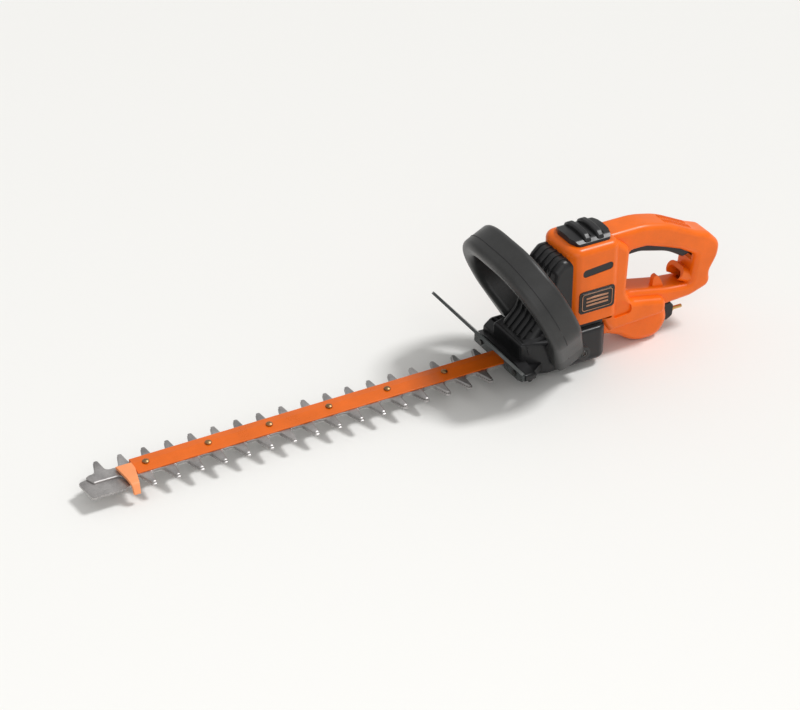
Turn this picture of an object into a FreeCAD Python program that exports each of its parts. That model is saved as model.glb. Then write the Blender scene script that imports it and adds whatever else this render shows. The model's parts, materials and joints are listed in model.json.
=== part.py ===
"""Corded hedge trimmer: double-acting 450 mm blade, D-shaped rear handle, bail front handle.

Tool coordinates while modelling: X runs back from the first cutting tooth, Y to the right-hand
side seen from the tip, Z up from the plane where the two blades touch. The last step moves every
sub-part by the same amount, so that the origin ends up under the middle of the whole machine.
"""
import FreeCAD, Part
import math
import os
import Sketcher
from FreeCAD import Placement, Rotation, Vector

doc = FreeCAD.newDocument("HedgeTrimmer")
sheet = doc.addObject("Spreadsheet::Sheet", "Sizes")
sheet.Label = "Sizes"

SIZES = [
    # blades
    ("pitch", 25.0, "spacing of the cutting teeth"),
    ("far_teeth", 18, "teeth on the far side"),
    ("near_teeth", 16, "teeth on the near side"),
    ("blade_thick", 2.0, "steel thickness of each blade"),
    ("slide_gap", 0.1, "running gap between sliding faces"),
    ("web_half", 10.5, "half width of the blade web"),
    ("tooth_reach", 18.8, "length of a tooth beyond the web"),
    ("tooth_tip", 5.0, "width of a tooth at its tip"),
    ("tooth_base", 12.0, "width of a tooth at its root"),
    ("tooth_lean", 2.5, "rearward lean of a tooth"),
    ("crank", 6.25, "throw of each eccentric, half the blade stroke"),
    ("eccentric_rad", 11.5, "radius of the eccentric discs"),
    ("saw_front", 27.0, "reach of the saw plate ahead of the first tooth"),
    ("saw_tooth", 2.6, "depth of the small saw teeth"),
    # support bar
    ("bar_half", 11.25, "half width of the support bar"),
    ("bar_top", 6.0, "height of the top of the bar"),
    ("bar_drop", 2.6, "fall of the near facet of the bar"),
    ("bar_crease", 2.5, "position of the crease across the bar"),
    ("bar_front", 28.0, "front end of the bar"),
    ("bolt_first", 41.0, "first bar bolt"),
    ("bolt_pitch", 66.5, "spacing of the bar bolts"),
    ("bolt_count", 6, "number of bar bolts"),
    ("bolt_rad", 2.0, "radius of the bar bolts"),
    ("bush_rad", 3.5, "radius of the shoulder bushes"),
    ("fit_gap", 0.05, "radial clearance of a running fit"),
    # gear case
    ("case_front", 447.0, "front wall of the gear case"),
    ("case_rear", 550.0, "rear wall of the gear case"),
    ("case_half", 36.0, "half width of the gear case at its base"),
    ("case_seam", -3.0, "joint between gear case and bottom cover"),
    ("case_floor", -10.0, "underside of the bottom cover"),
    ("case_deck", 36.0, "top of the gear case under the motor housing"),
    ("ramp_half", 27.0, "half width of the sloped front of the case"),
    ("ramp_top", 113.0, "height of the sloped front of the case"),
    ("case_wall", 3.0, "wall of the gear case"),
    ("flange_half", 51.0, "half width of the front flange"),
    ("flange_thick", 6.0, "thickness of the front flange"),
    # drive
    ("gear_x", 505.0, "axis of the drive gear"),
    ("gear_module", 1.25, "tooth module of the gear pair"),
    ("gear_teeth", 40, "teeth of the drive gear"),
    ("pinion_teeth", 8, "teeth of the pinion"),
    ("gear_base", 10.0, "underside of the drive gear"),
    ("gear_face", 8.0, "face width of the drive gear"),
    ("axle_rad", 3.0, "radius of the gear axle"),
    ("shaft_rad", 4.0, "radius of the motor shaft"),
    ("shaft_top", 112.0, "top of the motor shaft"),
    ("bearing_rad", 9.5, "outer radius of the ball bearings"),
    ("bearing_thick", 7.0, "width of the ball bearings"),
    ("lower_bearing_base", 27.0, "underside of the lower bearing"),
    ("upper_bearing_base", 103.0, "underside of the upper bearing"),
    ("core_rad", 15.0, "radius of the armature core"),
    ("core_base", 52.0, "underside of the armature core"),
    ("core_tall", 32.0, "stack height of the motor"),
    ("stator_half", 25.2, "half width of the stator laminations"),
    ("fan_rad", 24.0, "radius of the cooling fan"),
    ("fan_base", 38.0, "underside of the cooling fan"),
    ("fan_tall", 7.0, "height of the cooling fan"),
    ("fan_blades", 11, "number of fan blades"),
    ("comm_rad", 11.0, "radius of the commutator"),
    ("comm_base", 90.0, "underside of the commutator"),
    ("comm_tall", 10.5, "height of the commutator"),
    # housing
    ("barrel_front", 505.0, "front of the motor housing"),
    ("barrel_rear", 566.0, "rear of the motor housing"),
    ("barrel_half", 31.0, "half width of the motor housing"),
    ("barrel_top", 124.0, "top of the motor housing"),
    ("grip_half", 17.0, "half width of the rear handle"),
    ("grip_top", 123.5, "highest point of the rear handle"),
    ("handle_rear", 701.0, "rearmost point of the handle"),
    ("belly_half", 21.0, "half width of the belly"),
    ("belly_floor", -17.5, "underside of the belly"),
    ("shell_wall", 2.5, "wall of the housing shells"),
    ("tube_half", 11.5, "half width of the cord loop tube"),
    ("tube_short", 6.0, "half height of the cord loop tube"),
    # front handle
    ("bail_lean", 26.5, "forward lean of the front handle in degrees"),
    ("bail_root", 497.0, "where the parting plane of the front handle meets the blade plane"),
    ("bail_half", 82.0, "half width of the front handle"),
    ("bail_top", 150.0, "height of the front handle along its own plane"),
    ("bail_bar", 19.0, "thickness of the front handle seen from the front"),
    ("bail_fore", 14.0, "depth of its front shell"),
    ("bail_aft", 22.0, "depth of its rear shell"),
    ("bail_wall", 2.6, "wall of its shells"),
    # hand guard
    ("guard_lean", 40.4, "forward lean of the hand guard in degrees"),
    ("guard_tall", 72.0, "length of the guard up its slope"),
    ("guard_half", 74.0, "half width of the guard at its top"),
    ("guard_thick", 3.0, "thickness of the guard"),
    # controls
    ("trigger_half", 8.0, "half width of the rear trigger"),
    ("trigger_gap", 0.5, "side clearance of the triggers"),
    ("pin_rad", 2.0, "radius of the trigger pin"),
    ("lever_half", 7.0, "half depth of the front switch lever"),
    ("lever_travel", 3.0, "travel of the front switch lever"),
    # inlet
    ("inlet_half", 13.0, "half width of the plug inlet"),
    ("prong_rad", 2.0, "radius of the inlet pins"),
    ("prong_apart", 19.0, "spacing of the inlet pins"),
    ("prong_long", 12.0, "free length of the inlet pins"),
    # shift of the whole machine to its origin, set at the end
    ("shift_x", 0.0, "moves the machine to its origin along X"),
    ("shift_z", 0.0, "moves the machine to its origin along Z"),
]
for row, (alias, value, note) in enumerate(SIZES, start=1):
    sheet.set("A%d" % row, note)
    sheet.set("B%d" % row, repr(value))
    sheet.setAlias("B%d" % row, alias)
doc.recompute()


class Cells:
    """Reads a size from the sheet by its name."""

    def __getattr__(self, name):
        return float(sheet.get(name))


size = Cells()
NODES = []


# ---------------------------------------------------------------- drawing helpers
def corner_arc(before, corner, after, radius):
    """Start, middle and end of the arc that rounds one corner of an outline."""
    to_before = (before - corner).normalize()
    to_after = (after - corner).normalize()
    half = to_before.getAngle(to_after) / 2
    run = radius / math.tan(half)
    middle = corner + (to_before + to_after).normalize() * (radius / math.sin(half) - radius)
    return corner + to_before * run, middle, corner + to_after * run


def outline(corners):
    """Closed loop of edges through (u, v) corners; a third value rounds that corner."""
    points = [Vector(c[0], c[1], 0) for c in corners]
    radii = [c[2] if len(c) > 2 else 0.0 for c in corners]
    count = len(points)
    stops = []
    for i in range(count):
        if radii[i] > 0:
            stops.append(corner_arc(points[i - 1], points[i], points[(i + 1) % count], radii[i]))
        else:
            stops.append((points[i], None, points[i]))
    edges = []
    for i in range(count):
        start, middle, end = stops[i]
        if middle is not None:
            edges.append(Part.Arc(start, middle, end))
        following = stops[(i + 1) % count][0]
        if (following - end).Length > 1e-6:
            edges.append(Part.LineSegment(end, following))
    return edges


def plane_of(body, role):
    """One of the body's own origin planes."""
    return [f for f in body.Origin.OriginFeatures if f.Role == role][0]


def new_body(name):
    """Empty body."""
    return doc.addObject("PartDesign::Body", name)


def sketch_on(body, role, offset=0.0, loops=(), circles=(), turn=None):
    """Sketch on an origin plane, lifted by offset, from outlines and (u, v, radius) circles."""
    sketch = body.newObject("Sketcher::SketchObject", body.Name + "_sketch")
    sketch.AttachmentSupport = [(plane_of(body, role), "")]
    sketch.MapMode = "FlatFace"
    lift = offset if isinstance(offset, Vector) else Vector(0, 0, offset)
    sketch.AttachmentOffset = Placement(lift, turn or Rotation())
    for corners in loops:
        sketch.addGeometry(outline(corners), False)
    for u, v, radius in circles:
        sketch.addGeometry(Part.Circle(Vector(u, v, 0), Vector(0, 0, 1), radius), False)
    return sketch


def pad(body, sketch, length, both=False, back=False):
    """Pad a sketch; length is a number or an expression of cells."""
    feature = body.newObject("PartDesign::Pad", body.Name + "_pad")
    feature.Profile = sketch
    feature.SideType = "Symmetric" if both else "One side"
    feature.Reversed = back
    set_size(feature, "Length", length)
    doc.recompute()
    return feature


def pocket(body, sketch, length, both=False, back=False):
    """Pocket a sketch and check that it removed material."""
    before = body.Shape.Volume
    feature = body.newObject("PartDesign::Pocket", body.Name + "_pocket")
    feature.Profile = sketch
    feature.SideType = "Symmetric" if both else "One side"
    feature.Reversed = back
    set_size(feature, "Length", length)
    doc.recompute()
    if body.Shape.Volume > before - 1e-3:
        raise RuntimeError("pocket cut nothing in " + body.Name)
    return feature


def set_size(feature, name, value):
    """A number is set as it is, text is bound to the sheet."""
    if isinstance(value, str):
        feature.setExpression(name, value)
    else:
        setattr(feature, name, value)


def flat_edges(shape, axis, *levels):
    """Names of the edges that lie in the plane axis = level."""
    low, high = axis + "Min", axis + "Max"
    names = []
    for i, edge in enumerate(shape.Edges, start=1):
        box = edge.BoundBox
        for level in levels:
            if abs(getattr(box, low) - level) < 1e-3 and abs(getattr(box, high) - level) < 1e-3:
                names.append("Edge%d" % i)
    return names


def fillet(body, names, radius):
    """Round the named edges of the body's last feature."""
    feature = body.newObject("PartDesign::Fillet", body.Name + "_fillet")
    feature.Base = (body.Tip if body.Tip != feature else feature.BaseFeature, names)
    set_size(feature, "Radius", radius)
    doc.recompute()
    return feature


def prism(name, role, corners, start, length, both=False, back=False, holes=(), circles=()):
    """Body with one padded outline."""
    body = new_body(name)
    loops = ([corners] if corners else []) + list(holes)
    pad(body, sketch_on(body, role, start, loops, circles), length, both, back)
    return body


def cylinder(name, x, y, z, radius, height, axis=Vector(0, 0, 1)):
    """Cylinder whose radius and height may be bound to the sheet."""
    solid = doc.addObject("Part::Cylinder", name)
    set_size(solid, "Radius", radius)
    set_size(solid, "Height", height)
    solid.Placement = Placement(Vector(x, y, z), Rotation(Vector(0, 0, 1), axis))
    return solid


def block(name, x0, x1, y0, y1, z0, z1):
    """Box between two corners."""
    solid = doc.addObject("Part::Box", name)
    solid.Length = x1 - x0
    solid.Width = y1 - y0
    solid.Height = z1 - z0
    solid.Placement = Placement(Vector(x0, y0, z0), Rotation())
    return solid


def join(name, *pieces):
    """Union of solids."""
    fused = doc.addObject("Part::MultiFuse", name)
    fused.Shapes = list(pieces)
    fused.Refine = True
    return fused


def cut(name, base, *tools):
    """Base less the tools."""
    tool = tools[0] if len(tools) == 1 else join(name + "_tools", *tools)
    result = doc.addObject("Part::Cut", name)
    result.Base = base
    result.Tool = tool
    return result


def common(name, *pieces):
    """What the solids share."""
    result = doc.addObject("Part::MultiCommon", name)
    result.Shapes = list(pieces)
    return result


def group(name, *pieces):
    """Separate solids that are one node."""
    result = doc.addObject("Part::Compound", name)
    result.Links = list(pieces)
    return result


def node(name, piece):
    """Make a piece a sub-part of the machine."""
    piece.Label = name
    NODES.append(piece)
    return piece


def inset(corners, wall):
    """Outline moved inwards by wall, its corner radii with it; a negative wall moves it outwards."""
    points = [Vector(c[0], c[1], 0) for c in corners]
    count = len(points)
    area = sum(points[i - 1].x * points[i].y - points[i].x * points[i - 1].y for i in range(count))
    hand = 1 if area > 0 else -1
    moved = []
    for i in range(count):
        along = (points[i] - points[i - 1]).normalize()
        onward = (points[(i + 1) % count] - points[i]).normalize()
        normal = Vector(-along.y, along.x, 0) * hand
        next_normal = Vector(-onward.y, onward.x, 0) * hand
        shift = (normal + next_normal) * (wall / (1 + normal.dot(next_normal)))
        turns_in = hand * (along.x * onward.y - along.y * onward.x) > 0
        radius = corners[i][2] if len(corners[i]) > 2 else 0.0
        if radius > 0:
            radius = max(radius - wall if turns_in else radius + wall, 0.3)
        moved.append((points[i].x + shift.x, points[i].y + shift.y, radius))
    return moved


def mirrored(corners):
    """Outline reflected in its vertical axis."""
    return [(-c[0],) + tuple(c[1:]) for c in corners]


def edges_at(shape, point, normal, distance):
    """Names of the edges that lie in a plane at a distance from a point along a normal."""
    names = []
    for i, edge in enumerate(shape.Edges, start=1):
        middle = edge.valueAt((edge.FirstParameter + edge.LastParameter) / 2)
        ends = [vertex.Point for vertex in edge.Vertexes]
        if all(abs((p - point).dot(normal) - distance) < 1e-3 for p in ends + [middle]):
            names.append("Edge%d" % i)
    return names


# ---------------------------------------------------------------- blades and bar
bolt_places = [size.bolt_first + i * size.bolt_pitch for i in range(int(size.bolt_count))]
upper_face = size.slide_gap / 2
blade_top = upper_face + size.blade_thick
bar_base = blade_top + size.slide_gap
window_long = 2 * size.crank + size.eccentric_rad + 0.5
window_wide = size.crank + size.eccentric_rad + 0.5
yoke_wall = 7.0


def tooth(tip_x, side, extra, width):
    """Corners of one cutting tooth, front to rear."""
    root = side * size.web_half
    tip = side * (size.web_half + size.tooth_reach + extra)
    base = tip_x - size.tooth_lean
    return [(base - size.tooth_base / 2, root, 5.0),
            (tip_x - width / 2, tip, width * 0.42),
            (tip_x + width / 2, tip, width * 0.42),
            (base + size.tooth_base / 2, root, 5.0)]


def blade_outline(front, extra, width):
    """Comb of teeth on both sides, ending in the yoke plate around the eccentrics."""
    web = size.web_half
    corners = list(front)
    for k in range(int(size.far_teeth)):
        corners += tooth(k * size.pitch, 1, 0.0, width)
    yoke_front = size.gear_x - window_long - yoke_wall
    yoke_rear = size.gear_x + window_long + yoke_wall
    yoke_half = window_wide + yoke_wall
    corners += [(yoke_front - 10, web, 6.0), (yoke_front + 4, yoke_half, 6.0), (yoke_rear, yoke_half, 6.0)]
    corners += [(yoke_rear, -yoke_half, 6.0), (yoke_front + 4, -yoke_half, 6.0), (yoke_front - 10, -web, 6.0)]
    for j in reversed(range(int(size.near_teeth))):
        corners += reversed(tooth((j + 1.5) * size.pitch, -1, extra, width))
    return corners


def blade(name, front, extra, width, base_z):
    """One blade: comb outline, slots for the bar bushes and the window for its eccentric."""
    body = new_body(name)
    pad(body, sketch_on(body, "XY_Plane", base_z, [blade_outline(front, extra, width)]), "Sizes.blade_thick")
    half = size.bush_rad + size.fit_gap
    reach = half + size.crank + 0.2
    slots = [[(x - reach, -half, half * 0.99), (x + reach, -half, half * 0.99),
              (x + reach, half, half * 0.99), (x - reach, half, half * 0.99)] for x in bolt_places]
    window = [(size.gear_x - window_long, -window_wide, 4.0), (size.gear_x + window_long, -window_wide, 4.0),
              (size.gear_x + window_long, window_wide, 4.0), (size.gear_x - window_long, window_wide, 4.0)]
    pocket(body, sketch_on(body, "XY_Plane", base_z, slots + [window]), "Sizes.blade_thick", back=True)
    return body


def upper_blade():
    """Upper blade, with pointed teeth, cut away beside the saw plate."""
    front = [(16, -size.web_half, 5.0), (10, -4.5, 5.0), (-15, -4.0, 1.5), (-19.5, 7.5, 3.0), (-14, size.web_half, 6.0)]
    body = blade("upper_blade", front, 0.0, size.tooth_tip - 1.2, upper_face)
    return node("upper_blade", body)


def lower_blade():
    """Lower blade with blunt teeth, carrying the saw plate at its tip."""
    saw_near = size.web_half + 14
    front = [(22, -size.web_half, 4.0), (15, -saw_near + 2, 3.0)]
    count = 8
    step = (size.saw_front + 8) / count
    for i in range(count):
        right = 11 - i * step
        front += [(right, -saw_near + 1), (right - step * 0.35, -saw_near - size.saw_tooth + 1.5)]
    front += [(-size.saw_front + 2, -saw_near + 1, 3.0), (-size.saw_front - 1, 5, 4.0)]
    front += [(-17, 6.5, 3.0), (-14, size.web_half, 4.0)]
    return node("lower_blade", blade("lower_blade", front, 1.5, size.tooth_tip, -blade_top))


def support_bar():
    """Steel bar over the blades, folded along a crease, drilled for its bolts."""
    near_edge = size.bar_top - size.bar_drop
    section = [(-size.bar_half, bar_base), (size.bar_half, bar_base), (size.bar_half, size.bar_top, 0.8),
               (size.bar_crease, size.bar_top), (-size.bar_half, near_edge, 0.6)]
    body = new_body("support_bar")
    length = size.case_front + 5 - size.bar_front
    pad(body, sketch_on(body, "YZ_Plane", size.bar_front, [section]), length)
    holes = [(x, 0, size.bolt_rad + size.fit_gap) for x in bolt_places]
    pocket(body, sketch_on(body, "XY_Plane", 0, circles=holes), "Sizes.bar_top", back=True)
    return node("support_bar", body)


def bar_fasteners():
    """Bolts through the bar and both blades, with shoulder bushes, washers and nuts."""
    washer_top = -bar_base
    washer_base = washer_top - 1.0
    nut_base = washer_base - 3.0
    bolts, bushes, washers, nuts = [], [], [], []
    for i, x in enumerate(bolt_places):
        shank = cylinder("bolt_shank_%d" % i, x, 0, nut_base - 1, "Sizes.bolt_rad", size.bar_top - nut_base + 1)
        head = cylinder("bolt_head_%d" % i, x, 0, size.bar_top, 3.6, 1.9)
        slot = block("bolt_slot_%d" % i, x - 0.5, x + 0.5, -4, 4, size.bar_top + 1.0, size.bar_top + 3)
        bolts.append(join("bolt_%d" % i, shank, cut("bolt_top_%d" % i, head, slot)))
        bore = size.bolt_rad + size.fit_gap
        bush = prism("bush_%d" % i, "XY_Plane", None, -bar_base, 2 * bar_base,
                     circles=[(x, 0, size.bush_rad), (x, 0, bore)])
        bushes.append(bush)
        washers.append(prism("washer_%d" % i, "XY_Plane", None, washer_base, 1.0,
                             circles=[(x, 0, 6.0), (x, 0, bore)]))
        hexagon = [(x + 4.0 * math.cos(math.radians(60 * k)), 4.0 * math.sin(math.radians(60 * k)))
                   for k in range(6)]
        nuts.append(prism("nut_%d" % i, "XY_Plane", hexagon, nut_base, 3.0, circles=[(x, 0, bore)]))
    node("bar_bolts", group("bar_bolts", *bolts))
    node("bar_bushes", group("bar_bushes", *bushes))
    node("bar_washers", group("bar_washers", *washers))
    node("bar_nuts", group("bar_nuts", *nuts))


def tip_guard():
    """Moulded wedge on the front end of the bar, its finger bent down beside the blades."""
    near = size.web_half + size.tooth_reach + 2
    side = [(-16, bar_base + 0.6), (6.0, bar_base + 0.6), (6.0, size.bar_top, 1.5), (-17, size.bar_top, 5.0),
            (-27, 4.2, 6.0), (-near - 1, -5.5, 1.0), (-near + 2.5, -7.0, 1.0), (-25.7, 1.3)]
    plan = [(size.bar_front - 17, size.bar_half), (size.bar_front + 3.5, size.bar_half), (21.5, -near - 2, 1.5),
            (15.5, -near - 2, 1.5)]
    bent = prism("tip_guard_side", "YZ_Plane", side, 0, size.bar_front + 10)
    wedge = prism("tip_guard_plan", "XY_Plane", plan, -10, 30)
    seat = block("tip_guard_seat", size.bar_front, size.bar_front + 20, -size.bar_half - 0.2, size.bar_half + 0.2,
                 0, size.bar_top)
    return node("tip_guard", cut("tip_guard", common("tip_guard_form", bent, wedge), seat))


# ---------------------------------------------------------------- gear case and guard
def ramp_profile(grow):
    """Sloped front of the case in side view, grown for its ribs."""
    front = size.case_front + 2 - grow
    shoulder = size.ramp_top + grow * 0.3
    back = size.barrel_front + 7
    return [(front, 8), (front + 7, 30, 8), (front + 22, 46, 14), (back - 31.5 - grow, 78, 30),
            (back - 25.5 - grow, shoulder - 10, 10), (back - 15.5, shoulder, 8), (back, shoulder), (back, 8)]


def case_plan(margin):
    """Plan of the gear case: narrow behind the flange, full width around the gears."""
    front, rear, half = size.case_front, size.case_rear, size.case_half - margin
    return [(front, -half + 9, 4), (front + 30, -half, 14), (rear, -half, 12), (rear, half, 12),
            (front + 30, half, 14), (front, half - 9, 4)]


def gear_case():
    """Black upper case: gearbox, sloped ribbed front, motor seat and front flange."""
    front, rear, half, seam = size.case_front, size.case_rear, size.case_half, size.case_seam
    base = prism("case_base", "XY_Plane", case_plan(0), seam, size.case_deck - 6 - seam)
    fillet(base, flat_edges(base.Shape, "Z", size.case_deck - 6), 4.0)
    collar_half = size.barrel_half
    collar = prism("case_collar", "XY_Plane",
                   [(front + 22, -collar_half, 12), (rear, -collar_half, 10), (rear, collar_half, 10),
                    (front + 22, collar_half, 12)], seam + 20, size.case_deck - seam - 20)
    ramp = prism("case_ramp", "XZ_Plane", ramp_profile(0), 0, 2 * size.ramp_half, both=True)
    fillet(ramp, edges_near_side(ramp, size.ramp_half), 8.0)
    ribs = [prism("case_rib_%d" % k, "XZ_Plane", ramp_profile(2.5), y - 1.2, 2.4)
            for k, y in enumerate((-18, -9, 0, 9, 18))]
    flange = prism("case_flange", "YZ_Plane",
                   [(-size.flange_half, 1, 4), (-size.flange_half + 12, seam, 3), (size.flange_half, seam, 2),
                    (size.flange_half, 8, 4), (30, 11, 6), (-30, 11, 6), (-size.flange_half, 8, 3)],
                   front - size.flange_thick, size.flange_thick + 6)
    skirt = prism("case_skirt", "XY_Plane",
                  [(front, -size.flange_half + 2, 2), (front, size.flange_half - 2, 2), (front + 26, half - 4, 6),
                   (front + 26, -half + 4, 6)], seam, 9)
    hump = prism("case_hump", "XZ_Plane",
                 [(front, 2), (front, 15, 5), (front + 9, 22, 6), (front + 24, 22, 4), (front + 24, 2)],
                 -size.flange_half + 5, 24)
    boss = cylinder("case_boss", front + 8, -22, 22, 9, 24, Vector(1, 0, 0.25))
    outer = join("case_outer", base, collar, ramp, flange, skirt, hump, boss, *ribs)
    wall = size.case_wall
    chamber = prism("gear_chamber", "XY_Plane", inset(case_plan(0), wall), seam - 1, 25 - seam)
    blade_way = block("blade_way", front - size.flange_thick - 1, front + wall + 1, -size.web_half - 1,
                      size.web_half + 1, seam - 1, bar_base + 0.3)
    bar_way = block("bar_way", front - size.flange_thick - 1, front + 5, -size.bar_half - 0.1, size.bar_half + 0.1,
                    0, size.bar_top + 0.1)
    bearing = cylinder("bearing_seat", motor_x, 0, size.lower_bearing_base, "Sizes.bearing_rad", 8)
    shaft_way = cylinder("shaft_way", motor_x, 0, 20, size.shaft_rad + 2.5, 20)
    fan_way = cylinder("fan_way", motor_x, 0, size.fan_base - 2, size.fan_rad + 1.5, 40)
    axle_way = cylinder("axle_way", size.gear_x, 0, 20, "Sizes.axle_rad", 9)
    slots = []
    for k in range(2):
        slots.append(block("hump_slot_%d" % k, front + 8 + k * 6, front + 11 + k * 6, 28, 44, 17, 30))
        slots.append(block("ramp_slot_%d" % k, front + 10, front + 18, -26.5, -19, 38 + k * 7, 41 + k * 7))
    slot_half = size.barrel_half
    for side in (-1, 1):
        slots.append(block("case_side_slot_%d" % side, 516, 546, side * slot_half - 1.5, side * slot_half + 1.5,
                           31, 37))
    tools = [chamber, blade_way, bar_way, bearing, shaft_way, fan_way, axle_way] + slots
    housing_way = [barrel_half("case_housing_way_%d" % side, side, 0, size.case_deck, size.barrel_top)
                   for side in (-1, 1)]
    return node("gear_case", cut("gear_case", outer, *tools, *housing_way, *guard_screw_ways("case")))


def edges_near_side(body, half):
    """Edges on both side faces of a body padded evenly about the middle plane."""
    shape = body.Shape
    names = []
    for i, edge in enumerate(shape.Edges, start=1):
        box = edge.BoundBox
        flat = box.YMax - box.YMin < 1e-3
        if flat and abs(abs(box.YMin) - half) < 1e-3 and box.ZMin > 9 and box.XMax < size.barrel_front:
            names.append("Edge%d" % i)
    return names


def case_cover():
    """Bottom cover of the gear case, with the lower seat of the gear axle."""
    front, rear, half = size.case_front, size.case_rear, size.case_half
    tall = size.case_seam - size.case_floor
    body = prism("case_cover_body", "XY_Plane", case_plan(0), size.case_floor, tall)
    fillet(body, flat_edges(body.Shape, "Z", size.case_floor), 6.0)
    hollow = block("cover_hollow", front + 7, rear - 7, -half + 12, half - 12, size.case_floor + 3,
                   size.case_seam + 1)
    seat = prism("cover_seat", "XY_Plane", None, size.case_floor + 1, tall - 1,
                 circles=[(size.gear_x, 0, 8), (size.gear_x, 0, size.axle_rad)])
    bosses = [prism("cover_boss_%d" % k, "XY_Plane", None, size.case_floor + 1, tall - 1, circles=[(x, y, 5)])
              for k, (x, y) in enumerate(cover_screw_places)]
    outer = join("cover_outer", cut("cover_shell", body, hollow), seat, *bosses)
    holes = [cylinder("cover_hole_%d" % k, x, y, size.case_floor - 1, 1.8, tall + 2)
             for k, (x, y) in enumerate(cover_screw_places)]
    sinks = [cylinder("cover_sink_%d" % k, x, y, size.case_floor - 1, 3.8, 4)
             for k, (x, y) in enumerate(cover_screw_places)]
    return node("case_cover", cut("case_cover", outer, *(holes + sinks)))


def screw(name, x, y, z, axis, radius, length, head):
    """Screw with its head at the given place and its shank along the axis."""
    shank = cylinder(name + "_shank", x, y, z, radius, length, axis)
    place = Vector(x, y, z) - axis * 2.2
    cap = cylinder(name + "_head", place.x, place.y, place.z, head, 2.2, axis)
    return join(name, shank, cap)


def case_screws():
    """Screws that hold the bottom cover."""
    start = size.case_floor + 3
    up = Vector(0, 0, 1)
    screws = [screw("case_screw_%d" % k, x, y, start, up, 1.8, size.case_seam - start, 3.4)
              for k, (x, y) in enumerate(cover_screw_places)]
    return node("case_screws", group("case_screws", *screws))


def hand_guard():
    """Sloped guard plate with a stiffening band along its foot."""
    foot_half = size.flange_half - 2
    plate = [(-foot_half, 4, 3), (-size.guard_half, 30, 20), (-size.guard_half, size.guard_tall, 16),
             (size.guard_half, size.guard_tall, 16), (size.guard_half, 30, 20), (foot_half, 4, 3)]
    lean = Rotation(Vector(1, 0, 0), -size.guard_lean)
    foot = Vector(0, 5.0, size.case_front - size.flange_thick - 0.2)
    body = new_body("guard_plate")
    pad(body, sketch_on(body, "YZ_Plane", foot, [plate], turn=lean), "Sizes.guard_thick")
    band_front = size.case_front - size.flange_thick - size.guard_thick
    band = prism("guard_band", "YZ_Plane",
                 [(-foot_half, 0.5, 2), (-foot_half + 11, -2.8, 2), (foot_half, -2.8, 2), (foot_half, 9, 3),
                  (-foot_half, 9, 3)], band_front, "Sizes.guard_thick")
    way = block("guard_blade_way", band_front - 30, band_front + 20, -size.web_half - 1, size.web_half + 1,
                -20, bar_base + 0.3)
    bar_way = block("guard_bar_way", band_front - 30, band_front + 20, -size.bar_half - 0.4, size.bar_half + 0.4,
                    0, size.bar_top + 0.4)
    back = block("guard_behind", band_front + size.guard_thick, band_front + 40, -100, 100, -20, 80)
    solid = cut("hand_guard", join("guard_form", body, band), way, bar_way, back,
                *guard_screw_ways("guard"))
    return node("hand_guard", solid)


def guard_screws():
    """Screws that hold the guard to the flange."""
    start = size.case_front - size.flange_thick - size.guard_thick
    screws = [screw("guard_screw_%d" % k, start, y, 4.0, Vector(1, 0, 0), 1.6, 9.0, 3.0)
              for k, y in enumerate((-34, 34))]
    return node("guard_screws", group("guard_screws", *screws))


def guard_screw_ways(name):
    """Clearance for those screws, through the guard and into the flange."""
    start = size.case_front - size.flange_thick - size.guard_thick
    return [cylinder("%s_screw_way_%d" % (name, k), start - 1, y, 4.0, 1.6, 11.0, Vector(1, 0, 0))
            for k, y in enumerate((-34, 34))]


def blade_seal():
    """Felt wiper behind the flange, around both blades."""
    front = size.case_front + 7.4
    top = block("seal_top", front, front + 3, -size.web_half - 1, size.web_half + 1, blade_top + 0.3, 9)
    bar_way = block("seal_bar_way", front - 1, front + 4, -size.bar_half - 0.3, size.bar_half + 0.3, 0,
                    size.bar_top + 0.4)
    under = block("seal_under", front, front + 3, -size.web_half - 1, size.web_half + 1,
                  size.case_floor + 3, -blade_top - 0.3)
    return node("blade_seal", group("blade_seal", cut("seal_upper", top, bar_way), under))


# ---------------------------------------------------------------- gears and motor
def gear_outline(x, teeth, phase):
    """Straight-flanked gear outline, thinned for backlash."""
    pitch_rad = size.gear_module * teeth / 2
    tip_rad = pitch_rad + 0.75 * size.gear_module
    root_rad = pitch_rad - 1.05 * size.gear_module
    step = 2 * math.pi / teeth
    corners = []
    for i in range(teeth):
        middle = phase + i * step
        for radius, share in ((root_rad, -0.30), (tip_rad, -0.13), (tip_rad, 0.13), (root_rad, 0.30)):
            angle = middle + share * step
            corners.append((x + radius * math.cos(angle), radius * math.sin(angle)))
    return corners


def drive_gear():
    """Large gear with its hub."""
    teeth = int(size.gear_teeth)
    bore = size.axle_rad + size.fit_gap
    wheel = prism("gear_wheel", "XY_Plane", gear_outline(size.gear_x, teeth, 0), size.gear_base, "Sizes.gear_face",
                  circles=[(size.gear_x, 0, bore)])
    hub = prism("gear_hub", "XY_Plane", None, blade_top, size.gear_base - blade_top + 12.5,
                circles=[(size.gear_x, 0, 6.5), (size.gear_x, 0, bore)])
    return node("drive_gear", join("drive_gear", wheel, hub))


def eccentric(name, side, base_z):
    """Disc that drives one blade, its centre thrown to one side of the axle."""
    bore = size.axle_rad + size.fit_gap
    disc = prism(name, "XY_Plane", None, base_z, "Sizes.blade_thick",
                 circles=[(size.gear_x, side * size.crank, size.eccentric_rad), (size.gear_x, 0, bore)])
    return node(name, disc)


def gear_axle():
    """Fixed axle of the drive gear, from the cover to the roof of the gear chamber."""
    base = size.case_floor + 3
    return node("gear_axle", cylinder("gear_axle", size.gear_x, 0, base, "Sizes.axle_rad", 29 - base))


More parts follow.
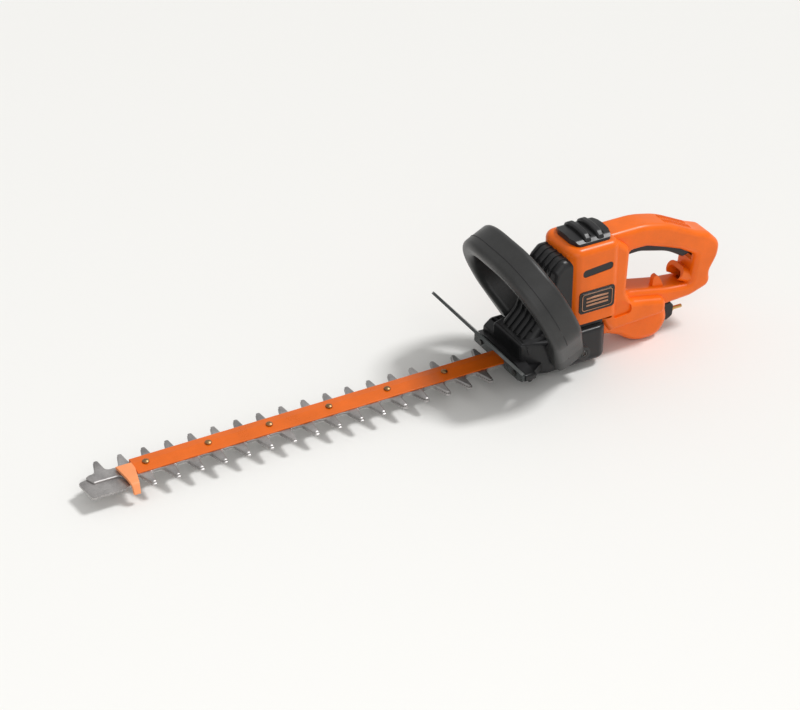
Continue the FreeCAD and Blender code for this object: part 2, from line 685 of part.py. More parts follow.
def pinion():
    """Pinion cut on the lower end of the motor shaft."""
    teeth = int(size.pinion_teeth)
    body = prism("pinion", "XY_Plane", gear_outline(motor_x, teeth, math.pi + math.pi / teeth),
                 size.gear_base - 1.5, size.gear_face + 3)
    return node("pinion", body)


def motor_shaft():
    """Motor shaft from the pinion to the upper bearing."""
    base = size.gear_base + size.gear_face + 1.5
    return node("motor_shaft", cylinder("motor_shaft", motor_x, 0, base, "Sizes.shaft_rad", size.shaft_top - base))


def ball_bearing(name, base_z):
    """Bearing drawn as one ring with a groove at each face."""
    body = prism(name, "XY_Plane", None, base_z, "Sizes.bearing_thick",
                 circles=[(motor_x, 0, size.bearing_rad), (motor_x, 0, size.shaft_rad + size.fit_gap)])
    for level, back in ((base_z, True), (base_z + size.bearing_thick, False)):
        groove = sketch_on(body, "XY_Plane", level, circles=[(motor_x, 0, 8.0), (motor_x, 0, 5.5)])
        pocket(body, groove, 1.0, back=back)
    return node(name, body)


def armature_core():
    """Slotted laminations with the end turns of the winding."""
    bore = size.shaft_rad
    count = 12
    stack = prism("core_stack", "XY_Plane", None, size.core_base, "Sizes.core_tall",
                  circles=[(motor_x, 0, size.core_rad), (motor_x, 0, bore)])
    slots = []
    for i in range(count):
        angle = 2 * math.pi * i / count
        slots.append((motor_x + 13.5 * math.cos(angle), 13.5 * math.sin(angle), 1.3))
    pocket(stack, sketch_on(stack, "XY_Plane", size.core_base, circles=slots), "Sizes.core_tall", back=True)
    node("armature_core", stack)
    turns = [prism("turns_%d" % k, "XY_Plane", None, base, 4.5, circles=[(motor_x, 0, 12.5), (motor_x, 0, bore)])
             for k, base in enumerate((size.core_base - 4.5, size.core_base + size.core_tall))]
    for piece in turns:
        fillet(piece, [n for n in flat_edges(piece.Shape, "Z", piece.Shape.BoundBox.ZMin, piece.Shape.BoundBox.ZMax)
                       if piece.Shape.Edges[int(n[4:]) - 1].BoundBox.XLength > 20], 1.5)
    node("armature_winding", group("armature_winding", *turns))


def commutator():
    """Commutator with its copper bars."""
    body = prism("commutator", "XY_Plane", None, size.comm_base, "Sizes.comm_tall",
                 circles=[(motor_x, 0, size.comm_rad), (motor_x, 0, size.shaft_rad)])
    count = 22
    cuts = []
    for i in range(count):
        angle = 2 * math.pi * i / count
        cuts.append((motor_x + size.comm_rad * math.cos(angle), size.comm_rad * math.sin(angle), 0.35))
    pocket(body, sketch_on(body, "XY_Plane", size.comm_base, circles=cuts), "Sizes.comm_tall", back=True)
    return node("commutator", body)


def fan():
    """Radial cooling fan under the armature."""
    disc = prism("fan_disc", "XY_Plane", None, size.fan_base, 1.5,
                 circles=[(motor_x, 0, size.fan_rad), (motor_x, 0, size.shaft_rad)])
    hub = prism("fan_hub", "XY_Plane", None, size.fan_base, "Sizes.fan_tall",
                circles=[(motor_x, 0, 8), (motor_x, 0, size.shaft_rad)])
    vanes = []
    count = int(size.fan_blades)
    for i in range(count):
        vane = block("fan_vane_%d" % i, 7, size.fan_rad - 0.6, -0.7, 0.7, size.fan_base + 1,
                     size.fan_base + size.fan_tall)
        turn = Rotation(Vector(0, 0, 1), 360.0 * i / count)
        start = turn.multVec(Vector(7, -0.7, 0))
        vane.Placement = Placement(Vector(motor_x + start.x, start.y, size.fan_base + 1), turn)
        vanes.append(vane)
    return node("cooling_fan", join("cooling_fan", disc, hub, *vanes))


coil_leg_x, coil_leg_y = 19.0, 11.0


def field_coil(side):
    """One field coil: end turns above and below the laminations, and the legs between them."""
    parts = []
    for k, base in enumerate((size.core_base - 5, size.core_base + size.core_tall)):
        ring = prism("coil_ring_%d_%d" % (side, k), "XY_Plane", None, base, 5,
                     circles=[(motor_x, 0, 24.5), (motor_x, 0, 17.5)])
        keep = block("coil_keep_%d_%d" % (side, k), motor_x - 30, motor_x + 30, min(side * 8, side * 40),
                     max(side * 8, side * 40), base - 1, base + 6)
        parts.append(common("coil_end_%d_%d" % (side, k), ring, keep))
    for k, leg in enumerate((-1, 1)):
        middle = motor_x + leg * coil_leg_x
        parts.append(block("coil_leg_%d_%d" % (side, k), middle - 2, middle + 2, side * coil_leg_y - 2,
                           side * coil_leg_y + 2, size.core_base - 1, size.core_base + size.core_tall + 1))
    return join("field_coil_%d" % side, *parts)


def stator():
    """Field laminations and their two coils."""
    half = size.stator_half
    body = prism("stator_core", "XY_Plane",
                 [(motor_x - half, -half, 10), (motor_x + half, -half, 10), (motor_x + half, half, 10),
                  (motor_x - half, half, 10)], size.core_base, "Sizes.core_tall",
                 circles=[(motor_x, 0, size.core_rad + 0.7)])
    slots = []
    for side in (-1, 1):
        for leg in (-1, 1):
            x, y = motor_x + leg * coil_leg_x, side * coil_leg_y
            slots.append([(x - 2.2, y - 2.2), (x + 2.2, y - 2.2), (x + 2.2, y + 2.2), (x - 2.2, y + 2.2)])
    pocket(body, sketch_on(body, "XY_Plane", size.core_base, slots), "Sizes.core_tall", back=True)
    node("stator_core", body)
    node("field_coils", group("field_coils", field_coil(-1), field_coil(1)))


def motor_bracket():
    """Spider above the commutator that seats the upper bearing and the brush holders."""
    base = size.upper_bearing_base - 1.5
    rim = size.barrel_half - size.shell_wall - 1.2
    disc = prism("bracket_disc", "XY_Plane", None, base, 4.0, circles=[(motor_x, 0, rim)])
    seat = prism("bracket_seat", "XY_Plane", None, base, size.bearing_thick + 3.5, circles=[(motor_x, 0, 13)])
    bore = cylinder("bracket_bore", motor_x, 0, size.upper_bearing_base, "Sizes.bearing_rad", 20)
    way = cylinder("bracket_way", motor_x, 0, base - 1, size.shaft_rad + 2, 20)
    windows = [cylinder("bracket_window_%d" % k, motor_x + 20 * math.cos(a), 20 * math.sin(a), base - 1, 5.0, 8)
               for k, a in enumerate([math.radians(45 + 90 * i) for i in range(4)])]
    posts = []
    for k, x in enumerate((-23.5, 23.5)):
        posts.append(cylinder("bracket_post_%d" % k, motor_x + x, 0, size.core_base + size.core_tall,
                              3.0, base - size.core_base - size.core_tall + 1))
    solid = cut("motor_bracket", join("bracket_form", disc, seat, *posts), bore, way, *windows)
    return node("motor_bracket", solid)


def brushes():
    """Brass holders with carbon brushes and their springs, on both sides of the commutator."""
    middle = size.comm_base + size.comm_tall / 2
    holders, carbons, springs = [], [], []
    for side in (-1, 1):
        y0, y1 = sorted((side * (size.comm_rad + 1.5), side * 27.5))
        outer = block("holder_outer_%d" % side, motor_x - 5, motor_x + 5, y0, y1, middle - 5.5, middle + 5.5)
        inner = block("holder_inner_%d" % side, motor_x - 3.6, motor_x + 3.6, y0 - 1, y1 - (side > 0) + (side < 0),
                      middle - 4.1, middle + 4.1)
        holders.append(cut("brush_holder_%d" % side, outer, inner))
        c0, c1 = sorted((side * (size.comm_rad + 0.3), side * 20.0))
        carbons.append(block("carbon_%d" % side, motor_x - 3.5, motor_x + 3.5, c0, c1, middle - 4, middle + 4))
        start = side * 20.2
        springs.append(cylinder("brush_spring_%d" % side, motor_x, start, middle, 2.6, 6.0, Vector(0, side, 0)))
    node("brush_holders", group("brush_holders", *holders))
    node("carbon_brushes", group("carbon_brushes", *carbons))
    node("brush_springs", group("brush_springs", *springs))


motor_x = size.gear_x + size.gear_module * (size.gear_teeth + size.pinion_teeth) / 2
cover_screw_places = [(size.case_front + 15, -20), (size.case_front + 15, 20), (size.case_rear - 13, -21.5),
                      (size.case_rear - 13, 21.5)]


# ---------------------------------------------------------------- rear housing
GRIP = [(545, 20), (545, size.grip_top), (604, size.grip_top, 90), (634, 116.5, 90), (672, 97.5, 60),
        (688, 91.5, 16), (size.handle_rear + 1, 77, 14), (701, 62, 30), (691, 44, 14), (693.5, 28, 10),
        (668, 19.5, 30), (632, 17.5, 120)]
LOOP = [(586, 97, 7), (580, 70, 24), (583, 49, 10), (602, 45.5, 200), (637, 38, 150), (666, 35, 5),
        (671, 69, 4), (652, 80.5, 20), (630, 89, 60), (608, 96.5, 30)]
BELLY = [(545, 30), (545, 4), (562, 3, 10), (577, -3, 14), (598, size.belly_floor, 38),
         (628, size.belly_floor, 21), (639, 2, 18), (632, 34)]
NECK = [(545, 36), (545, 118), (566, 119, 9), (580, 108, 12), (578, 56, 8), (586, 42, 8), (630, 33, 8.5),
        (630, 15, 8.5), (560, 12)]
TRIGGER = [(588, 87.5, 4), (604, 88, 30), (640, 78.5, 60), (660, 66, 3), (674, 70, 4), (674, 83, 5), (662, 89, 8),
           (640, 96, 60), (612, 102, 20), (588, 102, 4)]
PIVOT = (668, 77)
tube_axis = Rotation(Vector(1, 0, 0), 30)
tube_mouth = Vector(0, 47.5, 656)
shell_screw_places = [(578, 112.5), (645, 103.5), (689, 72), (655, 28), (573, 22)]


def oval(half_long, half_short):
    """Corners of a slot-shaped outline."""
    radius = half_short * 0.999
    return [(-half_long, -half_short, radius), (half_long, -half_short, radius), (half_long, half_short, radius),
            (-half_long, half_short, radius)]


def half_prism(name, side, corners, length, radius=0.0, holes=(), offset=0.0):
    """Outline in side view, padded from the middle plane to one side, its outer edges rounded."""
    body = new_body(name)
    start = offset if side < 0 else -offset
    pad(body, sketch_on(body, "XZ_Plane", start, [corners] + list(holes)), length, back=side > 0)
    if radius:
        reach = length + offset
        edges = [n for n in flat_edges(body.Shape, "Y", side * reach)
                 if body.Shape.Edges[int(n[4:]) - 1].BoundBox.XMax > 546 and is_outside(body, n)]
        fillet(body, edges, radius)
    return body


def is_outside(body, name):
    """False for the straight top edge of the belly, which the handle covers."""
    box = body.Shape.Edges[int(name[4:]) - 1].BoundBox
    return box.ZLength > 1e-3 or abs(box.ZMin - BELLY[0][1]) > 1e-3


def barrel_half(name, side, wall, base, top):
    """Half of the motor housing: plan outline padded upwards."""
    front, rear, half = size.barrel_front + wall, size.barrel_rear - wall, size.barrel_half - wall
    plan = [(front, 0), (front, side * half, 13 - wall), (rear, side * half, 12 - wall), (rear, 0)]
    return prism(name, "XY_Plane", plan, base, top - base)


def housing_half(name, side):
    """One half of the housing: motor housing, handle and belly, hollow, with bosses for its screws."""
    wall = size.shell_wall
    barrel = barrel_half(name + "_barrel", side, 0, size.case_deck, size.barrel_top)
    rim = [n for n in flat_edges(barrel.Shape, "Z", size.barrel_top)
           if abs(barrel.Shape.Edges[int(n[4:]) - 1].BoundBox.Center.y) > 1e-3
           or barrel.Shape.Edges[int(n[4:]) - 1].BoundBox.YLength > 1]
    fillet(barrel, rim, 8.0)
    grip = half_prism(name + "_grip", side, GRIP, size.grip_half, 6.8, [LOOP])
    belly = half_prism(name + "_belly", side, BELLY, size.belly_half, 11.0)
    neck = half_prism(name + "_neck", side, NECK, 27.0, 7.0)
    tube = new_body(name + "_tube")
    pad(tube, sketch_on(tube, "YZ_Plane", tube_mouth, [oval(size.tube_half + 2.5, size.tube_short + 2.2)],
                        turn=tube_axis), 36)
    tube_side = block(name + "_tube_side", 600, 760, min(0, side * 40), max(0, side * 40), -40, 120)
    tube_part = common(name + "_tube_half", tube, tube_side)
    solids = [barrel, grip, belly, neck, tube_part]
    if side < 0:
        hook = [(621, 38), (623, 52, 2), (627, 54, 2), (631.5, 48, 2), (637, 36)]
        solids.append(half_prism(name + "_hook", side, hook, 6.0, offset=3.0))
    outer = join(name + "_outer", *solids)
    barrel_void = barrel_half(name + "_barrel_void", side, wall, size.case_deck - 5, size.barrel_top - wall)
    grip_void = half_prism(name + "_grip_void", side, inset(GRIP, wall), size.grip_half - wall,
                           holes=[inset(LOOP, -wall)])
    belly_void = half_prism(name + "_belly_void", side, inset(BELLY, wall + 0.5), size.belly_half - wall - 3)
    voids = join(name + "_voids", barrel_void, grip_void, belly_void)
    bosses = []
    for k, (x, z) in enumerate(shell_screw_places):
        bosses.append(cylinder("%s_boss_%d" % (name, k), x, 0, z, 4.5, size.grip_half - 1, Vector(0, side, 0)))
    tube_wall = common(name + "_tube_wall", tube, tube_side)
    hollow = join(name + "_hollow", cut(name + "_shell", outer, voids), tube_wall, *bosses)
    tools = [half_prism(name + "_trigger_way", side,
                        [(586, 82, 4), (600, 82, 10), (650, 66, 4), (670, 60, 3), (678, 70, 4), (678, 87, 4),
                         (662, 94, 4), (640, 106, 10), (606, 113, 10), (586, 113, 4)],
                        size.trigger_half + size.trigger_gap)]
    mouth = new_body(name + "_tube_bore")
    bore_start = tube_mouth - Vector(0, 0, 6)
    pad(mouth, sketch_on(mouth, "YZ_Plane", bore_start, [oval(size.tube_half, size.tube_short)], turn=tube_axis), 38)
    tools.append(mouth)
    cover_half = prism(name + "_cover_way", "XY_Plane", COVER_PLAN, size.barrel_top - 6, 30)
    tools.append(cover_half)
    top_hole = prism(name + "_intake", "XY_Plane", inset(COVER_PLAN, 4), size.barrel_top - 12, 30)
    tools.append(top_hole)
    inlet = prism(name + "_inlet_way", "XZ_Plane", INLET, 0, 2 * size.inlet_half, both=True)
    tools.append(inlet)
    half_wall = size.barrel_half
    y0, y1 = sorted((side * (half_wall - 1.2), side * (half_wall + 2)))
    for label, box in SIDE_RECESSES:
        recess = prism("%s_%s" % (name, label), "XZ_Plane", box, -y1, y1 - y0)
        tools.append(recess)
    pocket_out = half_prism(name + "_pocket", side, [(562, 49, 3), (573, 47, 4), (584, 39, 5), (584, 30, 4),
                                                     (562, 28, 3)], 12, offset=24.5)
    tools.append(pocket_out)
    for k, (x, z) in enumerate(shell_screw_places):
        tools.append(cylinder("%s_hole_%d" % (name, k), x, -40, z, 1.6, 80, Vector(0, 1, 0)) if side > 0 else
                     cylinder("%s_hole_%d" % (name, k), x, -12.2, z, 1.6, 14, Vector(0, 1, 0)))
        if side > 0:
            tools.append(cylinder("%s_sink_%d" % (name, k), x, 13.0, z, 3.6, 20, Vector(0, 1, 0)))
    tools.append(block(name + "_case_way", 430, size.case_rear, -60, 60, -40, size.case_deck))
    tools.append(cylinder(name + "_pin_hole", PIVOT[0], -12, PIVOT[1], "Sizes.pin_rad", 24, Vector(0, 1, 0)))
    return node(name, cut(name, hollow, *tools))


COVER_PLAN = [(513, -12, 12), (518, -23, 5), (556, -23, 6), (560, -10, 10), (560, 10, 10), (556, 23, 6), (518, 23, 5),
              (513, 12, 12)]
INLET = [(628, -3, 2), (641, -4, 3), (648, 0, 3), (649, 12, 4), (644, 18, 2), (628, 17, 2)]
RIDGES = (529.5, 545)
SIDE_RECESSES = [("vent_recess", [(518.5, 91, 4), (555, 94, 4), (555, 103, 4), (518.5, 100, 4)]),
                 ("badge_recess", [(515, 49, 4), (558, 49, 4), (558, 75, 4), (515, 75, 4)])]


def shell_screws():
    """Screws that hold the two halves of the housing together."""
    inward = Vector(0, -1, 0)
    screws = [screw("shell_screw_%d" % k, x, 13.0, z, inward, 1.6, 24.5, 3.4)
              for k, (x, z) in enumerate(shell_screw_places)]
    return node("shell_screws", group("shell_screws", *screws))


def vent_cover():
    """Crowned black cover on top of the motor housing, with two cross ridges and their slots."""
    base = size.barrel_top - 6
    crown = [(-23, base), (23, base), (23, base + 8, 3), (17, base + 11.5, 8), (0, base + 13, 60),
             (-17, base + 11.5, 8), (-23, base + 8, 3)]
    ridge = [(-21.5, base), (21.5, base), (21.5, base + 11.5, 5), (15, base + 16, 10), (0, base + 18, 60),
             (-15, base + 16, 10), (-21.5, base + 11.5, 5)]
    plan = prism("cover_plan", "XY_Plane", COVER_PLAN, base, 30)
    body = prism("cover_crown", "YZ_Plane", crown, 505, 65)
    ridges = []
    for k, x in enumerate(RIDGES):
        solid = prism("cover_ridge_%d" % k, "YZ_Plane", ridge, x - 4, 8)
        middle = solid.Shape.BoundBox.ZMin + 1
        edges = [n for n in flat_edges(solid.Shape, "X", x - 4, x + 4)
                 if solid.Shape.Edges[int(n[4:]) - 1].BoundBox.ZMax > middle]
        fillet(solid, edges, 2.2)
        ridges.append(solid)
    form = common("cover_form", plan, join("cover_outer", body, *ridges))
    void = prism("cover_void", "XY_Plane", inset(COVER_PLAN, 4), base - 1, 9)
    slots = [block("cover_slot_%d" % k, x + 4.2, x + 6.4, -16, 16, base - 2, base + 20)
             for k, x in enumerate(RIDGES)]
    return node("vent_cover", cut("vent_cover", form, void, *slots))


def side_inserts(name, corners, proud):
    """The same insert on both sides of the motor housing."""
    wall = size.barrel_half - 1.2
    pieces = []
    for side in (-1, 1):
        y1 = max(side * wall, side * (wall + proud))
        pieces.append(prism("%s_%d" % (name, side), "XZ_Plane", corners, -y1, proud))
    return pieces


def badges_and_grilles():
    """Black side grilles in their slots, and plain badges with a raised frame."""
    node("side_grilles", group("side_grilles", *side_inserts("side_grille", SIDE_RECESSES[0][1], 0.8)))
    badge = SIDE_RECESSES[1][1]
    wall = size.barrel_half - 1.2
    for name, side in (("badge_near", -1), ("badge_far", 1)):
        y1 = max(side * wall, side * (wall + 2.0))
        plate = prism(name + "_plate", "XZ_Plane", badge, -y1, 2.0)
        face = side * (wall + 2.0)
        y1 = max(face, face + side * 0.4)
        frame = prism(name + "_frame", "XZ_Plane", inset(badge, 2.5), -y1, 0.4, holes=[inset(badge, 3.4)])
        node(name, join(name, plate, frame))


# ---------------------------------------------------------------- rear controls
def rear_trigger():
    """Long trigger under the rear handle, turning on a pin at its rear end."""
    half = size.trigger_half
    body = new_body("rear_trigger")
    pin = (PIVOT[0], PIVOT[1], size.pin_rad + size.fit_gap)
    pad(body, sketch_on(body, "XZ_Plane", 0, [TRIGGER], [pin]), 2 * half, both=True)
    low = [n for n in flat_edges(body.Shape, "Y", -half, half)
           if body.Shape.Edges[int(n[4:]) - 1].BoundBox.ZMax < 92.5
           and body.Shape.Edges[int(n[4:]) - 1].BoundBox.XMax < 665]
    fillet(body, low, 3.0)
    return node("rear_trigger", body)


def rear_small_parts():
    """Trigger pin and spring, and the switch above the trigger."""
    node("trigger_pin", cylinder("trigger_pin", PIVOT[0], -12, PIVOT[1], "Sizes.pin_rad", 24, Vector(0, 1, 0)))
    coil = prism("trigger_spring", "XY_Plane", None, 108.5, 11.5, circles=[(595, 0, 3.6), (595, 0, 2.4)])
    node("trigger_spring", coil)
    body = block("switch_body", 603, 625, -7.5, 7.5, 108, 115.5)
    button = block("switch_button", 618, 622, -2, 2, 106.5, 108.5)
    node("rear_switch", join("rear_switch", body, button))
    node("capacitor", block("capacitor", 592, 614, -8, 8, 0, 14))


def inlet():
    """Plug inlet at the back of the belly with its two pins."""
    half = size.inlet_half
    body = new_body("inlet_form")
    pad(body, sketch_on(body, "XZ_Plane", 0, [INLET]), 2 * half, both=True)
    edges = [n for n in flat_edges(body.Shape, "Y", -half, half)
             if body.Shape.Edges[int(n[4:]) - 1].BoundBox.XMin > 642]
    fillet(body, edges, 2.0)
    holes = [cylinder("inlet_hole_%d" % k, 636, y, 7, size.prong_rad + 1, 20, Vector(1, 0, 0))
             for k, y in enumerate((-size.prong_apart / 2, size.prong_apart / 2))]
    node("inlet_block", cut("inlet_block", body, *holes))
    pins = []
    for k, y in enumerate((-size.prong_apart / 2, size.prong_apart / 2)):
        collar = cylinder("inlet_collar_%d" % k, 636, y, 7, size.prong_rad + 1, 13, Vector(1, 0, 0))
        pin = cylinder("inlet_pin_%d" % k, 649, y, 7, "Sizes.prong_rad", "Sizes.prong_long", Vector(1, 0, 0))
        rounded = doc.addObject("Part::Fillet", "inlet_pin_round_%d" % k)
        rounded.Base = pin
        doc.recompute()
        tip = [i for i, e in enumerate(pin.Shape.Edges, start=1) if e.BoundBox.XMin > 648 + size.prong_long]
        rounded.Edges = [(i, 1.2, 1.2) for i in tip]
        pins.append(join("inlet_prong_%d" % k, collar, rounded))
    node("inlet_pins", group("inlet_pins", *pins))


def wire(name, points, radius):
    """Insulated lead along straight runs joined by arcs."""
    edges = []
    here = points[0]
    for i in range(1, len(points) - 1):
        before, corner, after = points[i - 1], points[i], points[i + 1]
        shorter = min((corner - before).Length, (after - corner).Length)
        half_turn = (corner - before).getAngle(after - corner) / 2
        start, middle, end = corner_arc(before, corner, after, 0.45 * shorter / math.tan(half_turn))
        edges.append(Part.LineSegment(here, start).toShape())
        edges.append(Part.Arc(start, middle, end).toShape())
        here = end
    edges.append(Part.LineSegment(here, points[-1]).toShape())
    path = Part.Wire(edges)
    direction = points[1] - points[0]
    profile = Part.Wire([Part.Circle(points[0], direction, radius).toShape()])
    lead = doc.addObject("Part::Feature", name)
    lead.Shape = path.makePipeShell([profile], True, True)
    return lead


def leads():
    """Leads from the inlet to the switch and from the switch to the motor."""
    up = wire("lead_inlet", [Vector(627.5, -6, 8), Vector(618, -6, 20), Vector(602, -6, 25), Vector(583, -6, 30),
                             Vector(575, -6, 46), Vector(573, -5, 70), Vector(574, -4, 90), Vector(584, -5, 106),
                             Vector(592, -6.3, 112), Vector(602.5, -5.4, 112)], 1.3)
    on = wire("lead_motor", [Vector(602.5, 5.4, 112), Vector(591, 6.3, 112), Vector(582, 5, 106), Vector(574, 6, 100),
                             Vector(567, 9, 96), Vector(559, 14, 93.5)], 1.3)
    return node("leads", group("leads", up, on))


# ---------------------------------------------------------------- front handle
bail_turn = Rotation(Vector(1, 0, 0), -size.bail_lean)
bail_normal = Vector(math.cos(math.radians(size.bail_lean)), 0, math.sin(math.radians(size.bail_lean)))
bail_up = Vector(-math.sin(math.radians(size.bail_lean)), 0, math.cos(math.radians(size.bail_lean)))
bail_foot = Vector(size.bail_root, 0, 0)


def bail_outline():
    """Arch of the front handle in its own plane, from foot to foot."""
    out, top, bar, foot = size.bail_half, size.bail_top, size.bail_bar, size.case_half
    inner = out - bar + 1
    wide, tall, rise = (out - foot) / 46, (top - 64) / 86, (top - bar - 66) / 65
    right_outer = [(foot, 2, 2), (foot + 13, 3, 7), (foot + 22 * wide, 22, 24), (out, 64, 40 * tall),
                   (out, top, 68 * tall)]
    right_inner = [(inner, top - bar, 50 * rise), (inner, 66, 30 * rise), (foot, 34, 14)]
    left_inner = [(-u, v, r) for u, v, r in reversed(right_inner)]
    left_outer = [(-u, v, r) for u, v, r in reversed(right_outer)]
    return right_outer + left_outer + left_inner + right_inner


def bail_shell(name, depth, forward):
    """Front or rear shell of the front handle, rounded outside and hollow from the parting plane."""
    start = Vector(0, 0, size.bail_root)
    shape = bail_outline()
    body = new_body(name + "_body")
    pad(body, sketch_on(body, "YZ_Plane", start, [shape], turn=bail_turn), depth, back=forward)
    reach = -depth if forward else depth
    edges = edges_at(body.Shape, bail_foot, bail_normal, reach)
    fillet(body, edges, 7.5 if forward else 6.0)
    hollow = sketch_on(body, "YZ_Plane", start, [inset(shape, size.bail_wall)], turn=bail_turn)
    pocket(body, hollow, depth - size.bail_wall - 1.5, back=not forward)
    return body


def bail_block(name, half_wide, low, high, fore, aft):
    """Box in the plane of the front handle."""
    body = new_body(name)
    corners = [(-half_wide, low), (half_wide, low), (half_wide, high), (-half_wide, high)]
    start = Vector(0, 0, size.bail_root)
    sketch = sketch_on(body, "YZ_Plane", start, [corners], turn=bail_turn)
    sketch.AttachmentOffset = Placement(start + bail_turn.multVec(Vector(0, 0, -fore)), bail_turn)
    pad(body, sketch, fore + aft)
    return body


def front_handle():
    """Two shells, the switch lever on the inside of the top bar, its springs, switch and screws."""
    inner = size.bail_top - size.bail_bar
    half = size.lever_half
    slot = [bail_block("lever_way_%d" % k, 47.6, inner - 9, inner + 6, half + 0.6, half + 0.6) for k in range(2)]
    case_way = block("bail_case_way", 430, 560, -size.case_half, size.case_half, -20, 34)
    case_way_rear = block("bail_case_way_rear", 430, 560, -size.case_half, size.case_half, -20, 34)
    screws, holes = [], []
    for k, side in enumerate((-1, 1)):
        place = Vector(511, side * (size.case_half + 13.5), 14)
        inward = Vector(0, -side, 0)
        screws.append(screw("handle_screw_%d" % k, place.x, place.y, place.z, inward, 2.0, 13.5, 4.0))
        holes.append(cylinder("handle_sink_%d" % k, place.x, place.y, place.z, 4.1, 12, -inward))
        holes.append(cylinder("handle_hole_%d" % k, place.x, place.y, place.z, 2.0, 20, inward))
    node("front_handle_shell", cut("front_handle_shell", bail_shell("front_shell", size.bail_fore, True), slot[0],
                                   case_way))
    rear = bail_shell("rear_shell", size.bail_aft, False)
    pads = [cylinder("handle_pad_%d" % k, 511, s * size.case_half, 14, 7.5, 15, Vector(0, s, 0))
            for k, s in enumerate((-1, 1))]
    node("rear_handle_shell", cut("rear_handle_shell", join("rear_shell_form", rear, *pads), slot[1],
                                  case_way_rear, *holes))
    node("handle_screws", group("handle_screws", *screws))
    lever = bail_block("front_lever", 46.8, inner - 5.5, inner + 4, half, half)
    low = edges_at(lever.Shape, bail_foot, bail_up, inner - 5.5)
    fillet(lever, low, 3.0)
    node("front_lever", lever)
    springs = []
    for k, y in enumerate((-20, 20)):
        place = bail_foot + bail_up * (inner + 4.4 + size.lever_travel) + Vector(0, y, 0)
        springs.append(cylinder("lever_spring_%d" % k, place.x, place.y, place.z, 3.0, 7.0, bail_up))
    node("lever_springs", group("lever_springs", *springs))
    switch = bail_block("front_switch", 9, inner + 4.4 + size.lever_travel, inner + 15.5, 6, 6)
    node("front_switch", switch)


# ---------------------------------------------------------------- build
upper_blade()
lower_blade()
support_bar()
bar_fasteners()
tip_guard()
gear_case()
case_cover()
case_screws()
hand_guard()
guard_screws()
blade_seal()
drive_gear()
eccentric("upper_eccentric", 1, upper_face)
eccentric("lower_eccentric", -1, -blade_top)
gear_axle()
pinion()
motor_shaft()
ball_bearing("lower_bearing", size.lower_bearing_base)
ball_bearing("upper_bearing", size.upper_bearing_base)
armature_core()
commutator()
fan()
stator()
motor_bracket()
brushes()
housing_half("housing_near", -1)
housing_half("housing_far", 1)
shell_screws()
vent_cover()
badges_and_grilles()
rear_trigger()
rear_small_parts()
inlet()
leads()
front_handle()
doc.recompute()

whole = Part.makeCompound([piece.Shape for piece in NODES]).optimalBoundingBox(False, False)
sheet.set("B%d" % (len(SIZES) - 1), repr(-round(whole.Center.x, 4)))
sheet.set("B%d" % len(SIZES), repr(-round(whole.ZMin, 4)))
for piece in NODES:
    piece.setExpression("Placement.Base.x", "Sizes.shift_x + %r" % piece.Placement.Base.x)
    piece.setExpression("Placement.Base.z", "Sizes.shift_z + %r" % piece.Placement.Base.z)
doc.recompute()

for item in doc.Objects:
    if {"Invalid", "Error"} & set(item.State):
        raise RuntimeError("%s failed: %s" % (item.Label, item.State))
for piece in NODES:
    if piece.Shape.isNull() or not piece.Shape.isValid():
        raise RuntimeError("bad shape in " + piece.Label)
os.makedirs("parts", exist_ok=True)
for piece in NODES:
    piece.Shape.exportStep("parts/%s.step" % piece.Label)
print("%d sub-parts, %.1f x %.1f x %.1f mm, moved by x %.4f z %.4f"
      % (len(NODES), whole.XLength, whole.YLength, whole.ZLength, size.shift_x, size.shift_z))
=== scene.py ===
"""Looks of the hedge trimmer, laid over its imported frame."""

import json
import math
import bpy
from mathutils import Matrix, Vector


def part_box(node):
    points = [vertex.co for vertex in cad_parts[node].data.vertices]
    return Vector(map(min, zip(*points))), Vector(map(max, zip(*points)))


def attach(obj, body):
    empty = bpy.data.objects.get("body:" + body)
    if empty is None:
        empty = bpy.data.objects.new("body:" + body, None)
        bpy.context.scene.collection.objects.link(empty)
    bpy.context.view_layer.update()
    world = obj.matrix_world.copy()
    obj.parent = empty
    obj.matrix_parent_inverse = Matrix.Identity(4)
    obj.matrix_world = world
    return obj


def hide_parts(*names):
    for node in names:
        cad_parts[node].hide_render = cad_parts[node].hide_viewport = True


bl_info = {
    "name": "Hedge Trimmer Looks",
    "version": (1, 0, 0),
    "blender": (4, 5, 0),
    "location": "View3D > Sidebar > Hedge Trimmer",
    "description": "Finished surfaces, fasteners and small details for the hedge trimmer",
    "category": "Object",
}

import bmesh
import bpy
import numpy as np
from mathutils import Matrix, Vector
from mathutils.bvhtree import BVHTree

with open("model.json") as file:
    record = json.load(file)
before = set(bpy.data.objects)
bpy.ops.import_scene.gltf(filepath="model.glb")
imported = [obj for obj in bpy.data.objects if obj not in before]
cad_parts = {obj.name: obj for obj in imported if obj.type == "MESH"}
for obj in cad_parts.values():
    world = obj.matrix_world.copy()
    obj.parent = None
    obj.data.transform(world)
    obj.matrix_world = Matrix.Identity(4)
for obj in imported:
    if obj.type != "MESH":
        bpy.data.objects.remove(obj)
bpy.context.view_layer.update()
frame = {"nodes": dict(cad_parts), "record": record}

SLOTS = {row["node"]: row["material_slot"] for row in frame["record"]["subparts"]}
BODIES = {node: body for body, nodes in frame["record"]["behaviour"]["bodies"].items()
          for node in nodes}
MM = 0.001
UPWARD = Vector((0, 0, 1))
SAME_POINT = 0.00001  # vertices closer than this are one
FLAT_TURN = 0.6  # faces that turn by less than this are one flat face, in degrees
CREASE_TURN = 8  # the support bar's crease is sharper than this, in degrees
GROUND_FALL = 0.55  # fall of a ground edge over its width
BAIL_LEAN = 26.5  # forward lean of the front handle, in degrees
SEAM_REACH = 150  # how far round the bail its seam runs each way from the top, in degrees
SEAM_STEP = 2.5  # turn between neighbouring points of the seam, in degrees
